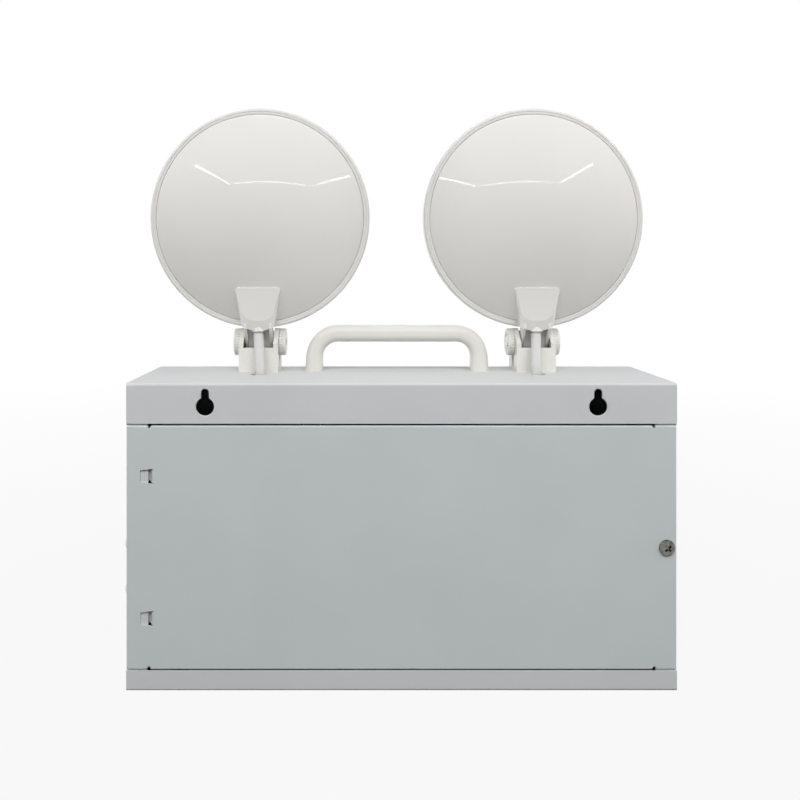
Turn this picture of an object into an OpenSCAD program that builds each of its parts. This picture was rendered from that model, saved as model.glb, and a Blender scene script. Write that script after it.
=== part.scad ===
// Twin-head emergency light on a folded steel battery case, with a carrying handle.
// X runs across the case, +Y is its back with the battery door, and +Z is up.
// The origin is the middle of the case's flat base. Left and right are as seen from the front.

/* [Case] */
// Width of the case
case_w = 280; // [270:1:330]
// Height of the case
case_h = 156.5; // [150:0.5:200]
// Depth of the case
case_d = 80; // [78:1:110]
// Thickness of the steel sheet
sheet_t = 1; // [0.8:0.1:1.5]
// Inside radius of the bends
bend_in_r = 0.5; // [0.3:0.1:1.5]
// Height of the strip above the door
top_strip_h = 20.6; // [18:0.1:30]
// Height of the strip below the door
bottom_strip_h = 10.4; // [8:0.1:20]
// Width of the side lips that the door lies on
side_lip_w = 11; // [10:0.1:14]

/* [Rear door] */
// Thickness of the door sheet
door_t = 1; // [0.8:0.1:1.5]
// Open seam above and below the door
seam = 1; // [0.5:0.1:2]
// Paint gap between the door and the lips
door_seat_gap = 0.1; // [0.05:0.05:0.3]
// Gap between the door's ends and the sides of the case
door_end_gap = 0.2; // [0.1:0.1:1]
// Distance from the case's side to a hook window
window_inset = 7.1; // [6:0.1:8]
// Width of a hook window
window_w = 6.9; // [6.7:0.1:8]
// Height of a hook window at its outer end
window_h = 6.1; // [5.8:0.1:9]
// Height of a hook window at the hook's root
window_root_h = 7.9; // [7:0.1:12]
// Height of a hook
hook_h = 5.4; // [4:0.1:5.5]
// How far a hook reaches behind the lip
hook_grip = 0.7; // [0.4:0.1:0.8]
// Free gap between a hook and the lip
hook_gap = 0.8; // [0.8:0.1:1.2]
// Upper hook's middle below the top of the case
upper_hook_drop = 47.4; // [40:0.1:60]
// Lower hook's middle below the top of the case
lower_hook_drop = 119.7; // [100:0.1:130]
// Door screw's axis to the case's side
door_screw_inset = 5.3; // [5:0.1:6]

/* [Keyholes] */
// Distance between the two keyholes
keyhole_pitch = 200; // [150:1:230]
// Diameter of a keyhole's round end
keyhole_d = 9.2; // [8:0.1:11]
// Width of a keyhole's slot
keyhole_slot_w = 4; // [3.5:0.1:5]
// Round end's centre below the top of the case
keyhole_drop = 12; // [11:0.1:13]
// Height of the slot's end above the round end's centre
keyhole_rise = 7; // [6:0.1:8]

/* [Handle] */
// Overall width of the handle
handle_w = 103; // [90:1:110]
// Height of the handle above the case
handle_h = 26; // [24:0.5:40]
// Height of the handle's section
handle_t = 9.3; // [8:0.1:11]
// Depth of the handle's section
handle_depth = 13; // [12:0.1:18]
// Corner radius of the section
handle_edge_r = 4; // [2:0.1:4]
// Inside radius of the handle's corners
handle_in_r = 8.5; // [6:0.5:12]
// Distance from the case's back to the handle
handle_back = 51; // [30:1:55]

/* [Lamp feet] */
// Distance between the two lamps
lamp_pitch = 157; // [150:1:175]
// Width of a foot
foot_w = 22; // [20:0.5:28]
// Depth of a foot
foot_d = 25.7; // [24:0.1:30]
// Distance from the case's back to a foot
foot_back = 49; // [46:0.5:50]
// Thickness of a foot's cheeks
cheek_t = 2.6; // [2:0.1:3.5]
// Thickness of a foot's floor and end walls
foot_wall_t = 2; // [1.5:0.1:3]
// Height of the end walls
foot_wall_h = 13.7; // [10:0.1:14]
// Height of the pivot above the case
pivot_h = 16.1; // [15.5:0.1:20]
// Radius of the cheeks' round tops
cheek_r = 7.9; // [7:0.1:9]
// Distance between the two screws under a foot
foot_screw_pitch = 13; // [11:0.5:15]
// Height of the screw bosses in a foot
foot_boss_h = 6; // [4:0.5:7]
// Diameter of the screw bosses
foot_boss_d = 7; // [5.5:0.1:8]

/* [Lamp heads] */
// Outer diameter of a head
head_d = 126; // [110:1:130]
// Gap between a head's rim and the cheeks below it
rim_gap = 0.5; // [0.4:0.1:3]
// Radius of the domed back
dome_r = 105; // [95:1:140]
// Wall of the domed shell
shell_t = 2; // [1.5:0.1:2.2]
// Thickness of the bezel's side wall
bezel_t = 3.4; // [2.5:0.1:4]
// Length of the bezel from back to front
bezel_depth = 11; // [10:0.5:16]
// Distance from the pivot back to the bezel's rear face
bezel_back = 5; // [4.5:0.1:6]
// Thickness of the bezel's front lip
lip_t = 1.8; // [1.2:0.1:2.5]
// Width of the bezel's front lip
lip_w = 7.5; // [6:0.1:10]
// Radius on the bezel's outer edges
bezel_edge_r = 1.5; // [0.5:0.1:1.7]
// Thickness of the lens
lens_t = 2; // [1.5:0.1:2.5]
// How far the lens bulges in front of its seat
lens_rise = 5; // [3:0.5:9]
// Thickness of the reflector
reflector_t = 1; // [0.8:0.1:1.5]
// Depth of the reflector's bowl
bowl_depth = 14.5; // [13:0.5:15]
// Radius of the reflector's bowl
bowl_r = 50; // [46:0.5:51]
// Outer radius of the reflector's neck
neck_r = 9.5; // [8.5:0.1:11]
// Length of the reflector's neck
neck_h = 3; // [2.6:0.1:4]

/* [Head boss] */
// Distance from the pivot back to the boss's flat face
boss_back = 15.9; // [15:0.1:17]
// Width of the boss at its top
boss_top_w = 24.7; // [22:0.1:30]
// Width of the boss at its bottom
boss_bottom_w = 18.5; // [18:0.1:21]
// Height of the boss's lowest point above the pivot
boss_low = 7.1; // [6.8:0.1:8]
// Depth of the boss's rounded bottom
boss_sag = 2.8; // [2:0.1:3]
// Thickness of an ear
ear_t = 1.8; // [1.4:0.1:2.5]
// Radius of an ear's round end
ear_r = 6.5; // [5:0.1:7]
// Side clearance of the ears in the foot
ear_gap = 0.5; // [0.3:0.05:0.8]

/* [Knobs] */
// Diameter of a clamping knob
knob_d = 15.5; // [13:0.1:15.8]
// Thickness of a clamping knob
knob_t = 3.8; // [3.4:0.1:6]
// Number of grooves round a knob
knob_grooves = 16; // [12:1:24]
// Radius of a knob's grooves
groove_r = 0.7; // [0.4:0.1:1]

/* [Fasteners] */
// Diameter of the larger screws
screw_d = 4; // [3.5:0.1:5]
// Head diameter of the larger screws
screw_head_d = 8; // [7:0.1:9]
// Head height of the larger screws
screw_head_h = 2.6; // [2:0.1:3.2]
// Diameter of the smaller screws
small_screw_d = 3; // [2.5:0.1:3.5]
// Head diameter of the smaller screws
small_head_d = 5.6; // [5:0.1:6.5]
// Head height of the smaller screws
small_head_h = 2.4; // [1.8:0.1:2.8]
// Width across a nut's flats
nut_af = 7; // [6.5:0.1:8]
// Height of a nut
nut_h = 2.2; // [1.8:0.1:2.6]
// Radial gap of a screw in what it holds or turns in
fit_gap = 0.05; // [0.02:0.01:0.1]
// Radial gap of a screw in a plain sheet hole
hole_gap = 0.2; // [0.15:0.05:0.4]

/* [Head cable] */
// Diameter of a head's cable
cable_d = 5.7; // [4:0.1:5.8]
// Diameter of the cable's hole in the case
cable_hole_d = 8.3; // [8.3:0.1:12]
// Hole's centre to the case's back
cable_hole_back = 38.5; // [38:0.1:39]
// How far the hole lies inwards of the lamp
cable_hole_shift = 1.2; // [0.8:0.1:1.4]

/* [Battery] */
// Width of the battery
battery_w = 101; // [90:1:110]
// Depth of the battery
battery_d = 47; // [40:1:60]
// Height of the battery
battery_h = 70; // [60:1:76]
// Width of the bracket that holds it
bracket_w = 44; // [30:1:60]
// Length of the bracket's foot
bracket_foot = 16; // [14:0.5:20]
// Length of the bracket's lip over the battery
bracket_lip = 12; // [8:0.5:15]

/* [Charger board] */
// Width of the circuit board
board_w = 112; // [106:1:120]
// Height of the circuit board
board_h = 46; // [42:1:50]
// Thickness of the circuit boards
board_t = 1.6; // [1:0.1:2]
// Length of the pillars that carry the board
pillar_h = 7; // [6:0.1:10]
// Board's middle below the top of the case
board_drop = 31; // [28:0.5:34]

/* [Front panel] */
// Distance between the three indicator lamps
indicator_pitch = 14; // [10:0.5:16]
// Diameter of an indicator lamp
indicator_d = 5; // [3:0.1:6]
// How far the indicators stand out
indicator_rise = 1.8; // [1:0.1:3]
// Test button's distance from the middle
button_x = 36; // [34:0.5:38]
// Diameter of the test button
button_d = 7.6; // [6:0.1:10]
// How far the test button stands out
button_rise = 4; // [3:0.1:6]
// Travel of the test button
button_travel = 1.5; // [1:0.1:1.8]

/* [Side fittings] */
// Distance between the two screws on the right side
side_screw_pitch = 23; // [20:0.5:26]
// Middle of the two screws above the base
side_screw_z = 61.5; // [58:0.5:80]
// Screws' axis to the case's back
side_screw_back = 7.5; // [7.3:0.1:9]
// Height of the supply gland above the base
gland_z = 30; // [25:1:40]
// Bore of the supply gland
gland_bore_d = 7; // [6:0.1:9]
// Diameter of the supply gland's body
gland_d = 13; // [12:0.1:16]
// Distance from the supply gland up to the fuse holder
fuse_lift = 32; // [26:1:40]
// Diameter of the fuse holder's body
fuse_d = 12; // [11:0.1:15]

/* [Transformer] */
// Width of the transformer's core
core_w = 41; // [36:1:46]
// Height of the transformer's core
core_h = 34; // [30:1:40]
// Thickness of the core's stack
core_d = 16; // [12:1:22]
// Distance between the frame's two fixings
frame_pitch = 54; // [52:1:60]

/* [Hidden] */
$fn = 96;

// Overrun of a cut past the face that it opens
over = 0.5;
back_y = case_d / 2;
side_x = case_w / 2;
lamp_x = lamp_pitch / 2;
door_low_z = bottom_strip_h + seam;
door_high_z = case_h - top_strip_h - seam;
door_mid_z = (door_low_z + door_high_z) / 2;
lip_front = door_t + door_seat_gap;
lip_back = lip_front + sheet_t;
door_screw_tail = 3.4;
door_screw_l = lip_back + door_screw_tail;
door_hole_play = 0.5;

handle_mid_r = handle_in_r + handle_t / 2;
handle_post_x = handle_w / 2 - handle_t / 2;
handle_y = back_y - handle_back - handle_depth / 2;
handle_bend_z = handle_h - handle_t / 2 - handle_mid_r;
handle_screw_l = 0.9 * handle_bend_z;

pivot_y = back_y - foot_back - foot_d / 2;
pivot_z = case_h + pivot_h;
slot_w = foot_w - 2 * cheek_t;
ear_out = slot_w / 2 - ear_gap;
foot_screw_l = sheet_t + 0.9 * foot_boss_h;
knob_in = foot_w / 2 + fit_gap;
knob_seat = knob_t - 0.8 * screw_head_h;
bolt_seat_x = knob_in + knob_t - knob_seat;
bolt_l = bolt_seat_x + knob_in + knob_t;

head_r = head_d / 2;
head_z = pivot_z + cheek_r + rim_gap + head_r;
shell_gap = 2 * fit_gap;
shell_r = head_r - bezel_t - shell_gap;
bezel_front = bezel_depth - bezel_back;
dome_sag = dome_r - sqrt(dome_r * dome_r - shell_r * shell_r);
dome_apex = bezel_back + dome_sag;
inner_r = shell_r - shell_t;
seat_front = bezel_front - lip_t;
lens_seat = seat_front - lens_t;
skirt_end = lens_seat - reflector_t;
lens_open_r = head_r - lip_w;
lens_edge_r = shell_r - shell_gap;
lens_r = (lens_open_r * lens_open_r + lens_rise * lens_rise) / (2 * lens_rise);
bowl_curve_r = (bowl_r * bowl_r + bowl_depth * bowl_depth) / (2 * bowl_depth);
bowl_centre = lens_seat - bowl_depth + bowl_curve_r;
neck_in_r = neck_r - reflector_t;
led_board_front = lens_seat - bowl_depth - neck_h + reflector_t;
led_board_r = 1.9 * neck_r;
led_post_x = 0.72 * led_board_r;
led_post_r = 0.9 * small_screw_d;
led_socket_h = 0.4 * led_board_r;
led_screw_d = 0.8 * small_screw_d;
led_head_d = 1.5 * small_screw_d;
led_head_h = 0.45 * small_screw_d;
socket_depth = 3;
emitter_r = 0.75 * neck_in_r;
emitter_t = 1.4;
post_drop = dome_r - sqrt(dome_r * dome_r - led_post_x * led_post_x);
led_post_h = dome_apex + led_board_front - board_t - shell_t / 2 - post_drop;
led_screw_l = board_t + 0.5 * (dome_apex + led_board_front - board_t - shell_t);

boss_front = bezel_back + 0.35 * shell_t;
boss_corner = boss_low + boss_sag;
boss_bottom_r = (boss_bottom_w * boss_bottom_w / 4 + boss_sag * boss_sag) / (2 * boss_sag);
boss_top = head_z - pivot_z - sqrt(dome_r * dome_r - pow(dome_r - dome_apex + boss_back, 2));
boss_bore_r = 0.58 * cable_d;
boss_bore_wall = 1.15;
boss_bore_back = boss_back - boss_bore_r - boss_bore_wall;
bore_turn = boss_low + 2 * cable_d + boss_sag;
bore_mouth_r = 1.32 * boss_bore_r;

cable_r = cable_d / 2;
lead_r = 0.19 * cable_d;
// Where the right head's cable runs, from the board up through the case and into the head
cable_route = [
    [54, -24, 128], [60, -24, 128], [67, -22, 129], [73, -15, 132], [75.6, -6, 138],
    [76.2, 0, 146], [76.2, 1.6, 154], [76.2, 1, 161], [76.8, -2, 167], [77.5, -5.2, 171.8],
    [78.2, -8.8, 175.6], [78.5, -10.3, 178.8], [78.5, -10.3, 184], [78.5, -10.4, 190.2],
    [78.5, -12.7, 193.6], [78.5, -15.5, 196.4], [78.5, -15.4, 201], [78.5, -13, 206],
    [78.5, -10.2, 212], [78.5, -7.4, 218], [78.5, -6.4, 222], [78.5, -6.4, 225.9]
];
// Where the battery's leads run, from its tabs up to the board
red_route = [
    [36, -15.6, 76], [36, -15.6, 82], [33, -13, 89], [24, -8, 94], [14, -8, 98],
    [7, -14, 101], [6, -20, 106], [6, -20, 112]
];
black_route = [
    [-36, -15.6, 76], [-36, -15.6, 82], [-33, -13, 89], [-24, -8, 94], [-14, -8, 98],
    [-7, -14, 101], [-6, -20, 106], [-6, -20, 112]
];

battery_front_y = -back_y + sheet_t + bend_in_r;
battery_back_y = battery_front_y + battery_d;
battery_top_z = sheet_t + battery_h;
battery_shoulder_h = 0.93 * battery_h;
battery_corner_r = 2;
tab_w = 6.3;
tab_t = 0.8;
tab_h = 5;
tab_pitch = 0.72 * battery_w;
bracket_t = 1.2;
bracket_stud_x = 0.34 * bracket_w;
stud_tip = 1;
stud_h = bracket_t + nut_h + stud_tip;
stud_y = battery_back_y + bracket_foot - nut_af;

board_front_y = -back_y + sheet_t + pillar_h;
board_back_y = board_front_y + board_t;
board_z = case_h - board_drop;
pillar_x = board_w / 2 - nut_af / 2;
pillar_z = board_h / 2 - nut_af / 2;
pillar_af = 0.8 * nut_af;
board_screw_l = board_t + 0.8 * pillar_h;
board_corner_r = 2;
socket_w = 10;
// Height of the lamp sockets' middle above the board's
socket_rise = 2.5;
lamp_socket_inset = 2;
socket_h = 9;
socket_d = 12;
lamp_socket_x = board_w / 2 - lamp_socket_inset - socket_w;
battery_socket_w = 7.5;
battery_socket_x = 0.8 * battery_socket_w;
// Bottom of the battery's sockets below the board's middle
battery_socket_drop = 13.5;
battery_socket_z = board_z - battery_socket_drop;
relay_size = [19, 15, 15];
relay_x = -24;
capacitor_r = 6.5;
capacitor_h = 20;
capacitor_x = 30;
capacitor_z = board_z + 0.2 * board_h;

switch_w = 12;
switch_clear = 0.25;
flange_t = 1.2;
flange_r = 0.65 * button_d;
switch_t = pillar_h - flange_t - fit_gap - button_travel - switch_clear;
plunger_r = 0.2 * button_d;
plunger_h = button_travel + switch_clear + 0.4 * switch_t;
plunger_reach = 0.8 * plunger_h;
indicator_rim_r = 0.58 * indicator_d;

side_screw_y = back_y - side_screw_back;
block_gap = 0.3;
block_d = 2 * (side_screw_back - lip_back - block_gap);
block_l = side_screw_pitch + 1.4 * small_head_d;
block_h = 11;
side_screw_l = sheet_t + 0.8 * block_h;

gland_y = 0;
fuse_z = gland_z + fuse_lift;
flange_out = 2;
gland_out = 8;
gland_in = 8;
gland_nut_h = 3.5;
gland_flange_d = 1.4 * gland_d;
gland_neck_d = 1.15 * gland_d;
gland_nut_af = 1.35 * gland_d;
fuse_in = 26;
fuse_cap_h = 6;
fuse_plug_h = 5;
coin_slot_w = 1;
coin_slot_d = 1;
fuse_plug_r = 0.33 * fuse_d;
fuse_flange_d = 1.35 * fuse_d;

coil_w = 0.64 * core_w;
coil_h = 0.58 * core_h;
coil_d = core_d + 0.3 * core_w;
leg_w = 0.34 * core_w;
// The transformer stands midway between the battery and the left side
transformer_x = (battery_w / 2 + side_x) / 2;
core_lift = bracket_t;
frame_t = bracket_t;
frame_foot = frame_pitch + 1.3 * nut_af;

// Point where a line from p touches a circle of radius r about the origin
function touch(p, r, side) =
    let (a = atan2(p[1], p[0]) + side * acos(r / norm(p)))
    [r * cos(a), r * sin(a)];

function unit(v) = v / norm(v);

// Direction of a route at its point i
function heading(route, i) =
    unit(route[min(i + 1, len(route) - 1)] - route[max(i - 1, 0)]);

// Ring of points round a route's point, square to the route
function ring(route, i, r, sides) =
    let (
        h = heading(route, i),
        ref = abs(h[0]) < 0.9 ? [1, 0, 0] : [0, 0, 1],
        a = unit(cross(h, ref)),
        b = cross(h, a)
    )
    [for (k = [0 : sides - 1]) route[i] + r * (cos(360 * k / sides) * a + sin(360 * k / sides) * b)];

// Tube of radius r along a route
module tube(route, r, sides) {
    rings = len(route);
    points = [for (i = [0 : rings - 1]) each ring(route, i, r, sides)];
    walls = [
        for (i = [0 : rings - 2], k = [0 : sides - 1], half = [0, 1])
            let (n = (k + 1) % sides, low = i * sides, high = low + sides)
            half == 0 ? [low + k, high + k, high + n] : [low + k, high + n, low + n]
    ];
    first = [for (k = [1 : sides - 2]) [0, k, k + 1]];
    end = (rings - 1) * sides;
    last = [for (k = [1 : sides - 2]) [end, end + k + 1, end + k]];
    polyhedron(points, concat(walls, first, last));
}

// Mirrors a right-hand piece to the left
module on_side(side) {
    mirror([side < 0 ? 1 : 0, 0, 0]) children();
}

// Extrudes an outline in X and Z from one depth behind the case's back face to another
module into_case(from, to) {
    translate([0, back_y - from, 0])
        rotate([90, 0, 0])
            linear_extrude(to - from)
                children();
}

// Extrudes an outline in Y and Z along X
module along_x(from, to) {
    translate([from, 0, 0])
        rotate([90, 0, 90])
            linear_extrude(to - from)
                children();
}

// Turns an outline of radius and height round an axis that points forwards from the pivot
module head_turned() {
    translate([lamp_x, pivot_y, head_z])
        rotate([90, 0, 0])
            rotate_extrude()
                children();
}

module round_rect(w, h, r) {
    square([w - 2 * r, h], center = true);
    square([w, h - 2 * r], center = true);
    for (x = [-1, 1], y = [-1, 1])
        translate([x * (w / 2 - r), y * (h / 2 - r)])
            circle(r);
}

// Hex prism standing on the origin
module hex(af, h) {
    cylinder(h = h, d = af / cos(30), $fn = 6);
}

// Cross recess cut down into a screw's head from height h
module cross_recess(head_d, h) {
    arm = 0.58 * head_d;
    arm_w = 0.16 * head_d;
    for (turn = [0, 90])
        translate([0, 0, h])
            rotate([0, 0, turn])
                cube([arm, arm_w, h], center = true);
}

// Pan-head screw along +Z: its head stands on the origin and its shank hangs below
module pan_screw(d, head_d, head_h, length) {
    crown_r = 0.75 * head_d;
    difference() {
        union() {
            intersection() {
                cylinder(h = head_h, d = head_d);
                translate([0, 0, head_h - crown_r])
                    sphere(crown_r);
            }
            translate([0, 0, -length])
                cylinder(h = length + head_h / 4, d = d);
        }
        cross_recess(head_d, head_h);
    }
}

module nut(af, h, bore) {
    difference() {
        hex(af, h);
        translate([0, 0, -over])
            cylinder(h = h + 2 * over, d = bore);
    }
}

// Solid block of the case, inset all round, with its bends rounded
module case_block(inset) {
    r = bend_in_r + sheet_t - inset;
    intersection() {
        translate([0, 0, case_h / 2])
            along_x(inset - side_x, side_x - inset)
                round_rect(case_d - 2 * inset, case_h - 2 * inset, r);
        linear_extrude(case_h)
            union() {
                round_rect(case_w - 2 * inset, case_d - 2 * inset, r);
                translate([0, case_d / 4])
                    square([case_w - 2 * inset, case_d / 2 - 2 * inset], center = true);
                translate([inset - side_x, 0])
                    square([case_w - 2 * inset, back_y - inset]);
            }
    }
}

module keyhole() {
    circle(d = keyhole_d);
    translate([-keyhole_slot_w / 2, 0])
        square([keyhole_slot_w, keyhole_rise]);
    translate([0, keyhole_rise])
        circle(d = keyhole_slot_w);
}

module top_holes(side) {
    for (end = [-1, 1])
        translate([side * lamp_x, pivot_y + end * foot_screw_pitch / 2, case_h - sheet_t - over])
            cylinder(h = sheet_t + 2 * over, r = small_screw_d / 2 + hole_gap);
    translate([side * (lamp_x - cable_hole_shift), back_y - cable_hole_back, case_h - sheet_t - over])
        cylinder(h = sheet_t + 2 * over, d = cable_hole_d);
    translate([side * handle_post_x, handle_y, case_h - sheet_t - over])
        cylinder(h = sheet_t + 2 * over, r = screw_d / 2 + hole_gap);
}

module front_hole(x, z, r) {
    translate([x, sheet_t + over - back_y, z])
        rotate([90, 0, 0])
            cylinder(h = sheet_t + 2 * over, r = r);
}

module stud(x, y, h) {
    translate([x, y, sheet_t / 2])
        cylinder(h = h + sheet_t / 2, d = screw_d);
}

module case_shell() {
    zone_h = case_h - top_strip_h - bottom_strip_h;
    color([0.80, 0.81, 0.81])
        difference() {
            union() {
                difference() {
                    case_block(0);
                    case_block(sheet_t);
                    into_case(-over, lip_front)
                        translate([-side_x - over, bottom_strip_h])
                            square([case_w + 2 * over, zone_h]);
                    into_case(-over, lip_back)
                        translate([side_lip_w - side_x, bottom_strip_h])
                            square([case_w - 2 * side_lip_w, zone_h]);
                }
                for (side = [-1, 1])
                    into_case(lip_front, lip_back)
                        translate([side > 0 ? side_x - side_lip_w : -side_x, bottom_strip_h])
                            square([side_lip_w, zone_h]);
                for (side = [-1, 1]) {
                    stud(side * bracket_stud_x, stud_y, stud_h);
                    stud(side * frame_pitch / 2 - transformer_x, 0, stud_h);
                }
            }
            for (side = [-1, 1]) {
                into_case(-over, sheet_t + over)
                    translate([side * keyhole_pitch / 2, case_h - keyhole_drop])
                        keyhole();
                top_holes(side);
                translate([side_x - sheet_t - over, side_screw_y, side_screw_z + side * side_screw_pitch / 2])
                    rotate([0, 90, 0])
                        cylinder(h = sheet_t + 2 * over, r = small_screw_d / 2 + hole_gap);
            }
            for (place = [-1, 0, 1])
                front_hole(place * indicator_pitch, board_z, indicator_d / 2 + hole_gap);
            front_hole(button_x, board_z, button_d / 2 + 2 * fit_gap);
            for (fitting = [[gland_z, gland_d], [fuse_z, fuse_d]])
                translate([-side_x - over, gland_y, fitting[0]])
                    rotate([0, 90, 0])
                        cylinder(h = sheet_t + 2 * over, r = fitting[1] / 2 + fit_gap);
            into_case(lip_front - over, lip_back + over)
                translate([door_screw_inset - side_x, door_mid_z])
                    circle(screw_d / 2 + door_hole_play);
        }
}

module hook_window() {
    polygon([
        [side_x - window_inset, -window_h / 2],
        [side_x - window_inset, window_h / 2],
        [side_x - window_inset - window_w, window_root_h / 2],
        [side_x - window_inset - window_w, -window_root_h / 2]
    ]);
}

// Hook that is cut from the door and stepped in behind the lip, in plan
module hook() {
    root = window_inset + window_w;
    tip = side_lip_w - hook_grip;
    step = lip_back + hook_gap;
    knee = side_lip_w + 0.6 * door_t;
    slope = atan2(step, root - knee);
    back_shift = door_t / sin(slope);
    inner = step + door_t;
    outline = [
        [root + door_t, 0],
        [root, 0],
        [knee, step],
        [tip, step],
        [tip, inner],
        [root + back_shift - inner / tan(slope), inner],
        [root + back_shift - door_t / tan(slope), door_t],
        [root + door_t, door_t]
    ];
    linear_extrude(hook_h, center = true)
        polygon([for (p = outline) [side_x - p[0], back_y - p[1]]]);
}

module rear_door() {
    color([0.79, 0.80, 0.80])
        difference() {
            union() {
                difference() {
                    into_case(0, door_t)
                        translate([door_end_gap - side_x, door_low_z])
                            square([case_w - 2 * door_end_gap, door_high_z - door_low_z]);
                    for (drop = [upper_hook_drop, lower_hook_drop])
                        into_case(-over, door_t + over)
                            translate([0, case_h - drop])
                                hook_window();
                }
                for (drop = [upper_hook_drop, lower_hook_drop])
                    translate([0, 0, case_h - drop])
                        hook();
            }
            into_case(-over, door_t + over)
                translate([door_screw_inset - side_x, door_mid_z])
                    circle(screw_d / 2 + fit_gap);
        }
}

module door_screw() {
    color([0.72, 0.72, 0.70])
        translate([door_screw_inset - side_x, back_y, door_mid_z])
            rotate([-90, 0, 0])
                pan_screw(screw_d, screw_head_d, screw_head_h, door_screw_l);
}

// Section of the handle's posts, bends and bar
module handle_section() {
    round_rect(handle_t, handle_depth, handle_edge_r);
}

module carry_handle() {
    color([0.91, 0.90, 0.86])
        translate([0, handle_y, case_h])
            difference() {
                union() {
                    for (side = [-1, 1]) {
                        translate([side * handle_post_x, 0, 0])
                            linear_extrude(handle_bend_z)
                                handle_section();
                        translate([side * (handle_post_x - handle_mid_r), 0, handle_bend_z])
                            rotate([90, 0, side < 0 ? 180 : 0])
                                rotate_extrude(angle = 90)
                                    translate([handle_mid_r, 0])
                                        handle_section();
                    }
                    translate([0, 0, handle_h - handle_t / 2])
                        rotate([0, 90, 0])
                            linear_extrude(2 * (handle_post_x - handle_mid_r), center = true)
                                handle_section();
                }
                for (side = [-1, 1])
                    translate([side * handle_post_x, 0, -over])
                        cylinder(h = handle_screw_l + over, r = screw_d / 2 + fit_gap);
            }
}

module handle_screws() {
    color([0.75, 0.75, 0.73])
        for (side = [-1, 1])
            translate([side * handle_post_x, handle_y, case_h - sheet_t])
                mirror([0, 0, 1])
                    pan_screw(screw_d, screw_head_d, screw_head_h, handle_screw_l);
}

// Cheek's outline about the pivot, in Y and Z: a plain end wall behind, a round top
module cheek_outline() {
    half = foot_d / 2;
    wall = foot_wall_h - pivot_h;
    circle(cheek_r);
    polygon([
        [-half, -pivot_h],
        [half, -pivot_h],
        [half, 0],
        touch([half, 0], cheek_r, 1),
        [0, 0],
        [-cheek_r, 0],
        [-cheek_r, wall],
        [-half, wall]
    ]);
}

module lamp_foot(side) {
    color([0.92, 0.91, 0.87])
        on_side(side)
            translate([lamp_x, pivot_y, pivot_z])
                difference() {
                    union() {
                        for (x = [-foot_w / 2, foot_w / 2 - cheek_t])
                            along_x(x, x + cheek_t)
                                cheek_outline();
                        translate([-foot_w / 2, -foot_d / 2, -pivot_h])
                            cube([foot_w, foot_d, foot_wall_t]);
                        for (y = [-foot_d / 2, foot_d / 2 - foot_wall_t])
                            translate([-foot_w / 2, y, -pivot_h])
                                cube([foot_w, foot_wall_t, foot_wall_h]);
                        for (end = [-1, 1])
                            translate([0, end * foot_screw_pitch / 2, -pivot_h])
                                cylinder(h = foot_boss_h, d = foot_boss_d);
                    }
                    translate([-foot_w / 2 - over, 0, 0])
                        rotate([0, 90, 0])
                            cylinder(h = foot_w + 2 * over, r = screw_d / 2 + fit_gap);
                    for (end = [-1, 1])
                        translate([0, end * foot_screw_pitch / 2, -pivot_h - over])
                            cylinder(h = foot_boss_h + 2 * over, r = small_screw_d / 2 + fit_gap);
                }
}

module foot_screws() {
    color([0.75, 0.75, 0.73])
        for (side = [-1, 1], end = [-1, 1])
            translate([side * lamp_x, pivot_y + end * foot_screw_pitch / 2, case_h - sheet_t])
                mirror([0, 0, 1])
                    pan_screw(small_screw_d, small_head_d, small_head_h, foot_screw_l);
}

// Boss's flat face, in X and Z about the pivot
module boss_outline() {
    polygon([
        [-boss_bottom_w / 2, boss_corner],
        [boss_bottom_w / 2, boss_corner],
        [boss_top_w / 2, boss_top],
        [boss_top_w / 2, boss_top + shell_t],
        [-boss_top_w / 2, boss_top + shell_t],
        [-boss_top_w / 2, boss_top]
    ]);
    intersection() {
        translate([0, boss_low + boss_bottom_r])
            circle(boss_bottom_r);
        translate([-boss_bottom_w / 2, boss_low])
            square([boss_bottom_w, boss_sag]);
    }
}

// Ear's outline about the pivot, in Y and Z, from under the boss to its round end
module ear_outline() {
    top = boss_corner + boss_sag / 4;
    rear = [boss_back - shell_t / 4, boss_low + boss_sag / 2];
    front = [boss_front, cheek_r - rim_gap];
    circle(ear_r);
    polygon([
        [0, 0],
        touch(rear, ear_r, -1),
        rear,
        [rear[0], top],
        [boss_front, top],
        front,
        touch(front, ear_r, -1)
    ]);
}

// Knuckle's outline about the pivot: the round between the ears and the web up to the boss
module knuckle_outline() {
    front = [boss_front, cheek_r - rim_gap];
    circle(ear_r);
    polygon([
        [0, 0],
        [ear_r, 0],
        [boss_front + shell_t, boss_corner],
        [boss_front + shell_t, boss_corner + boss_sag / 4],
        [boss_front, boss_corner + boss_sag / 4],
        front,
        touch(front, ear_r, -1)
    ]);
}

module dome_half(r, edge) {
    intersection() {
        translate([0, dome_r - dome_apex])
            circle(r);
        translate([0, -dome_apex])
            square([edge, dome_apex - bezel_back]);
    }
}

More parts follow.
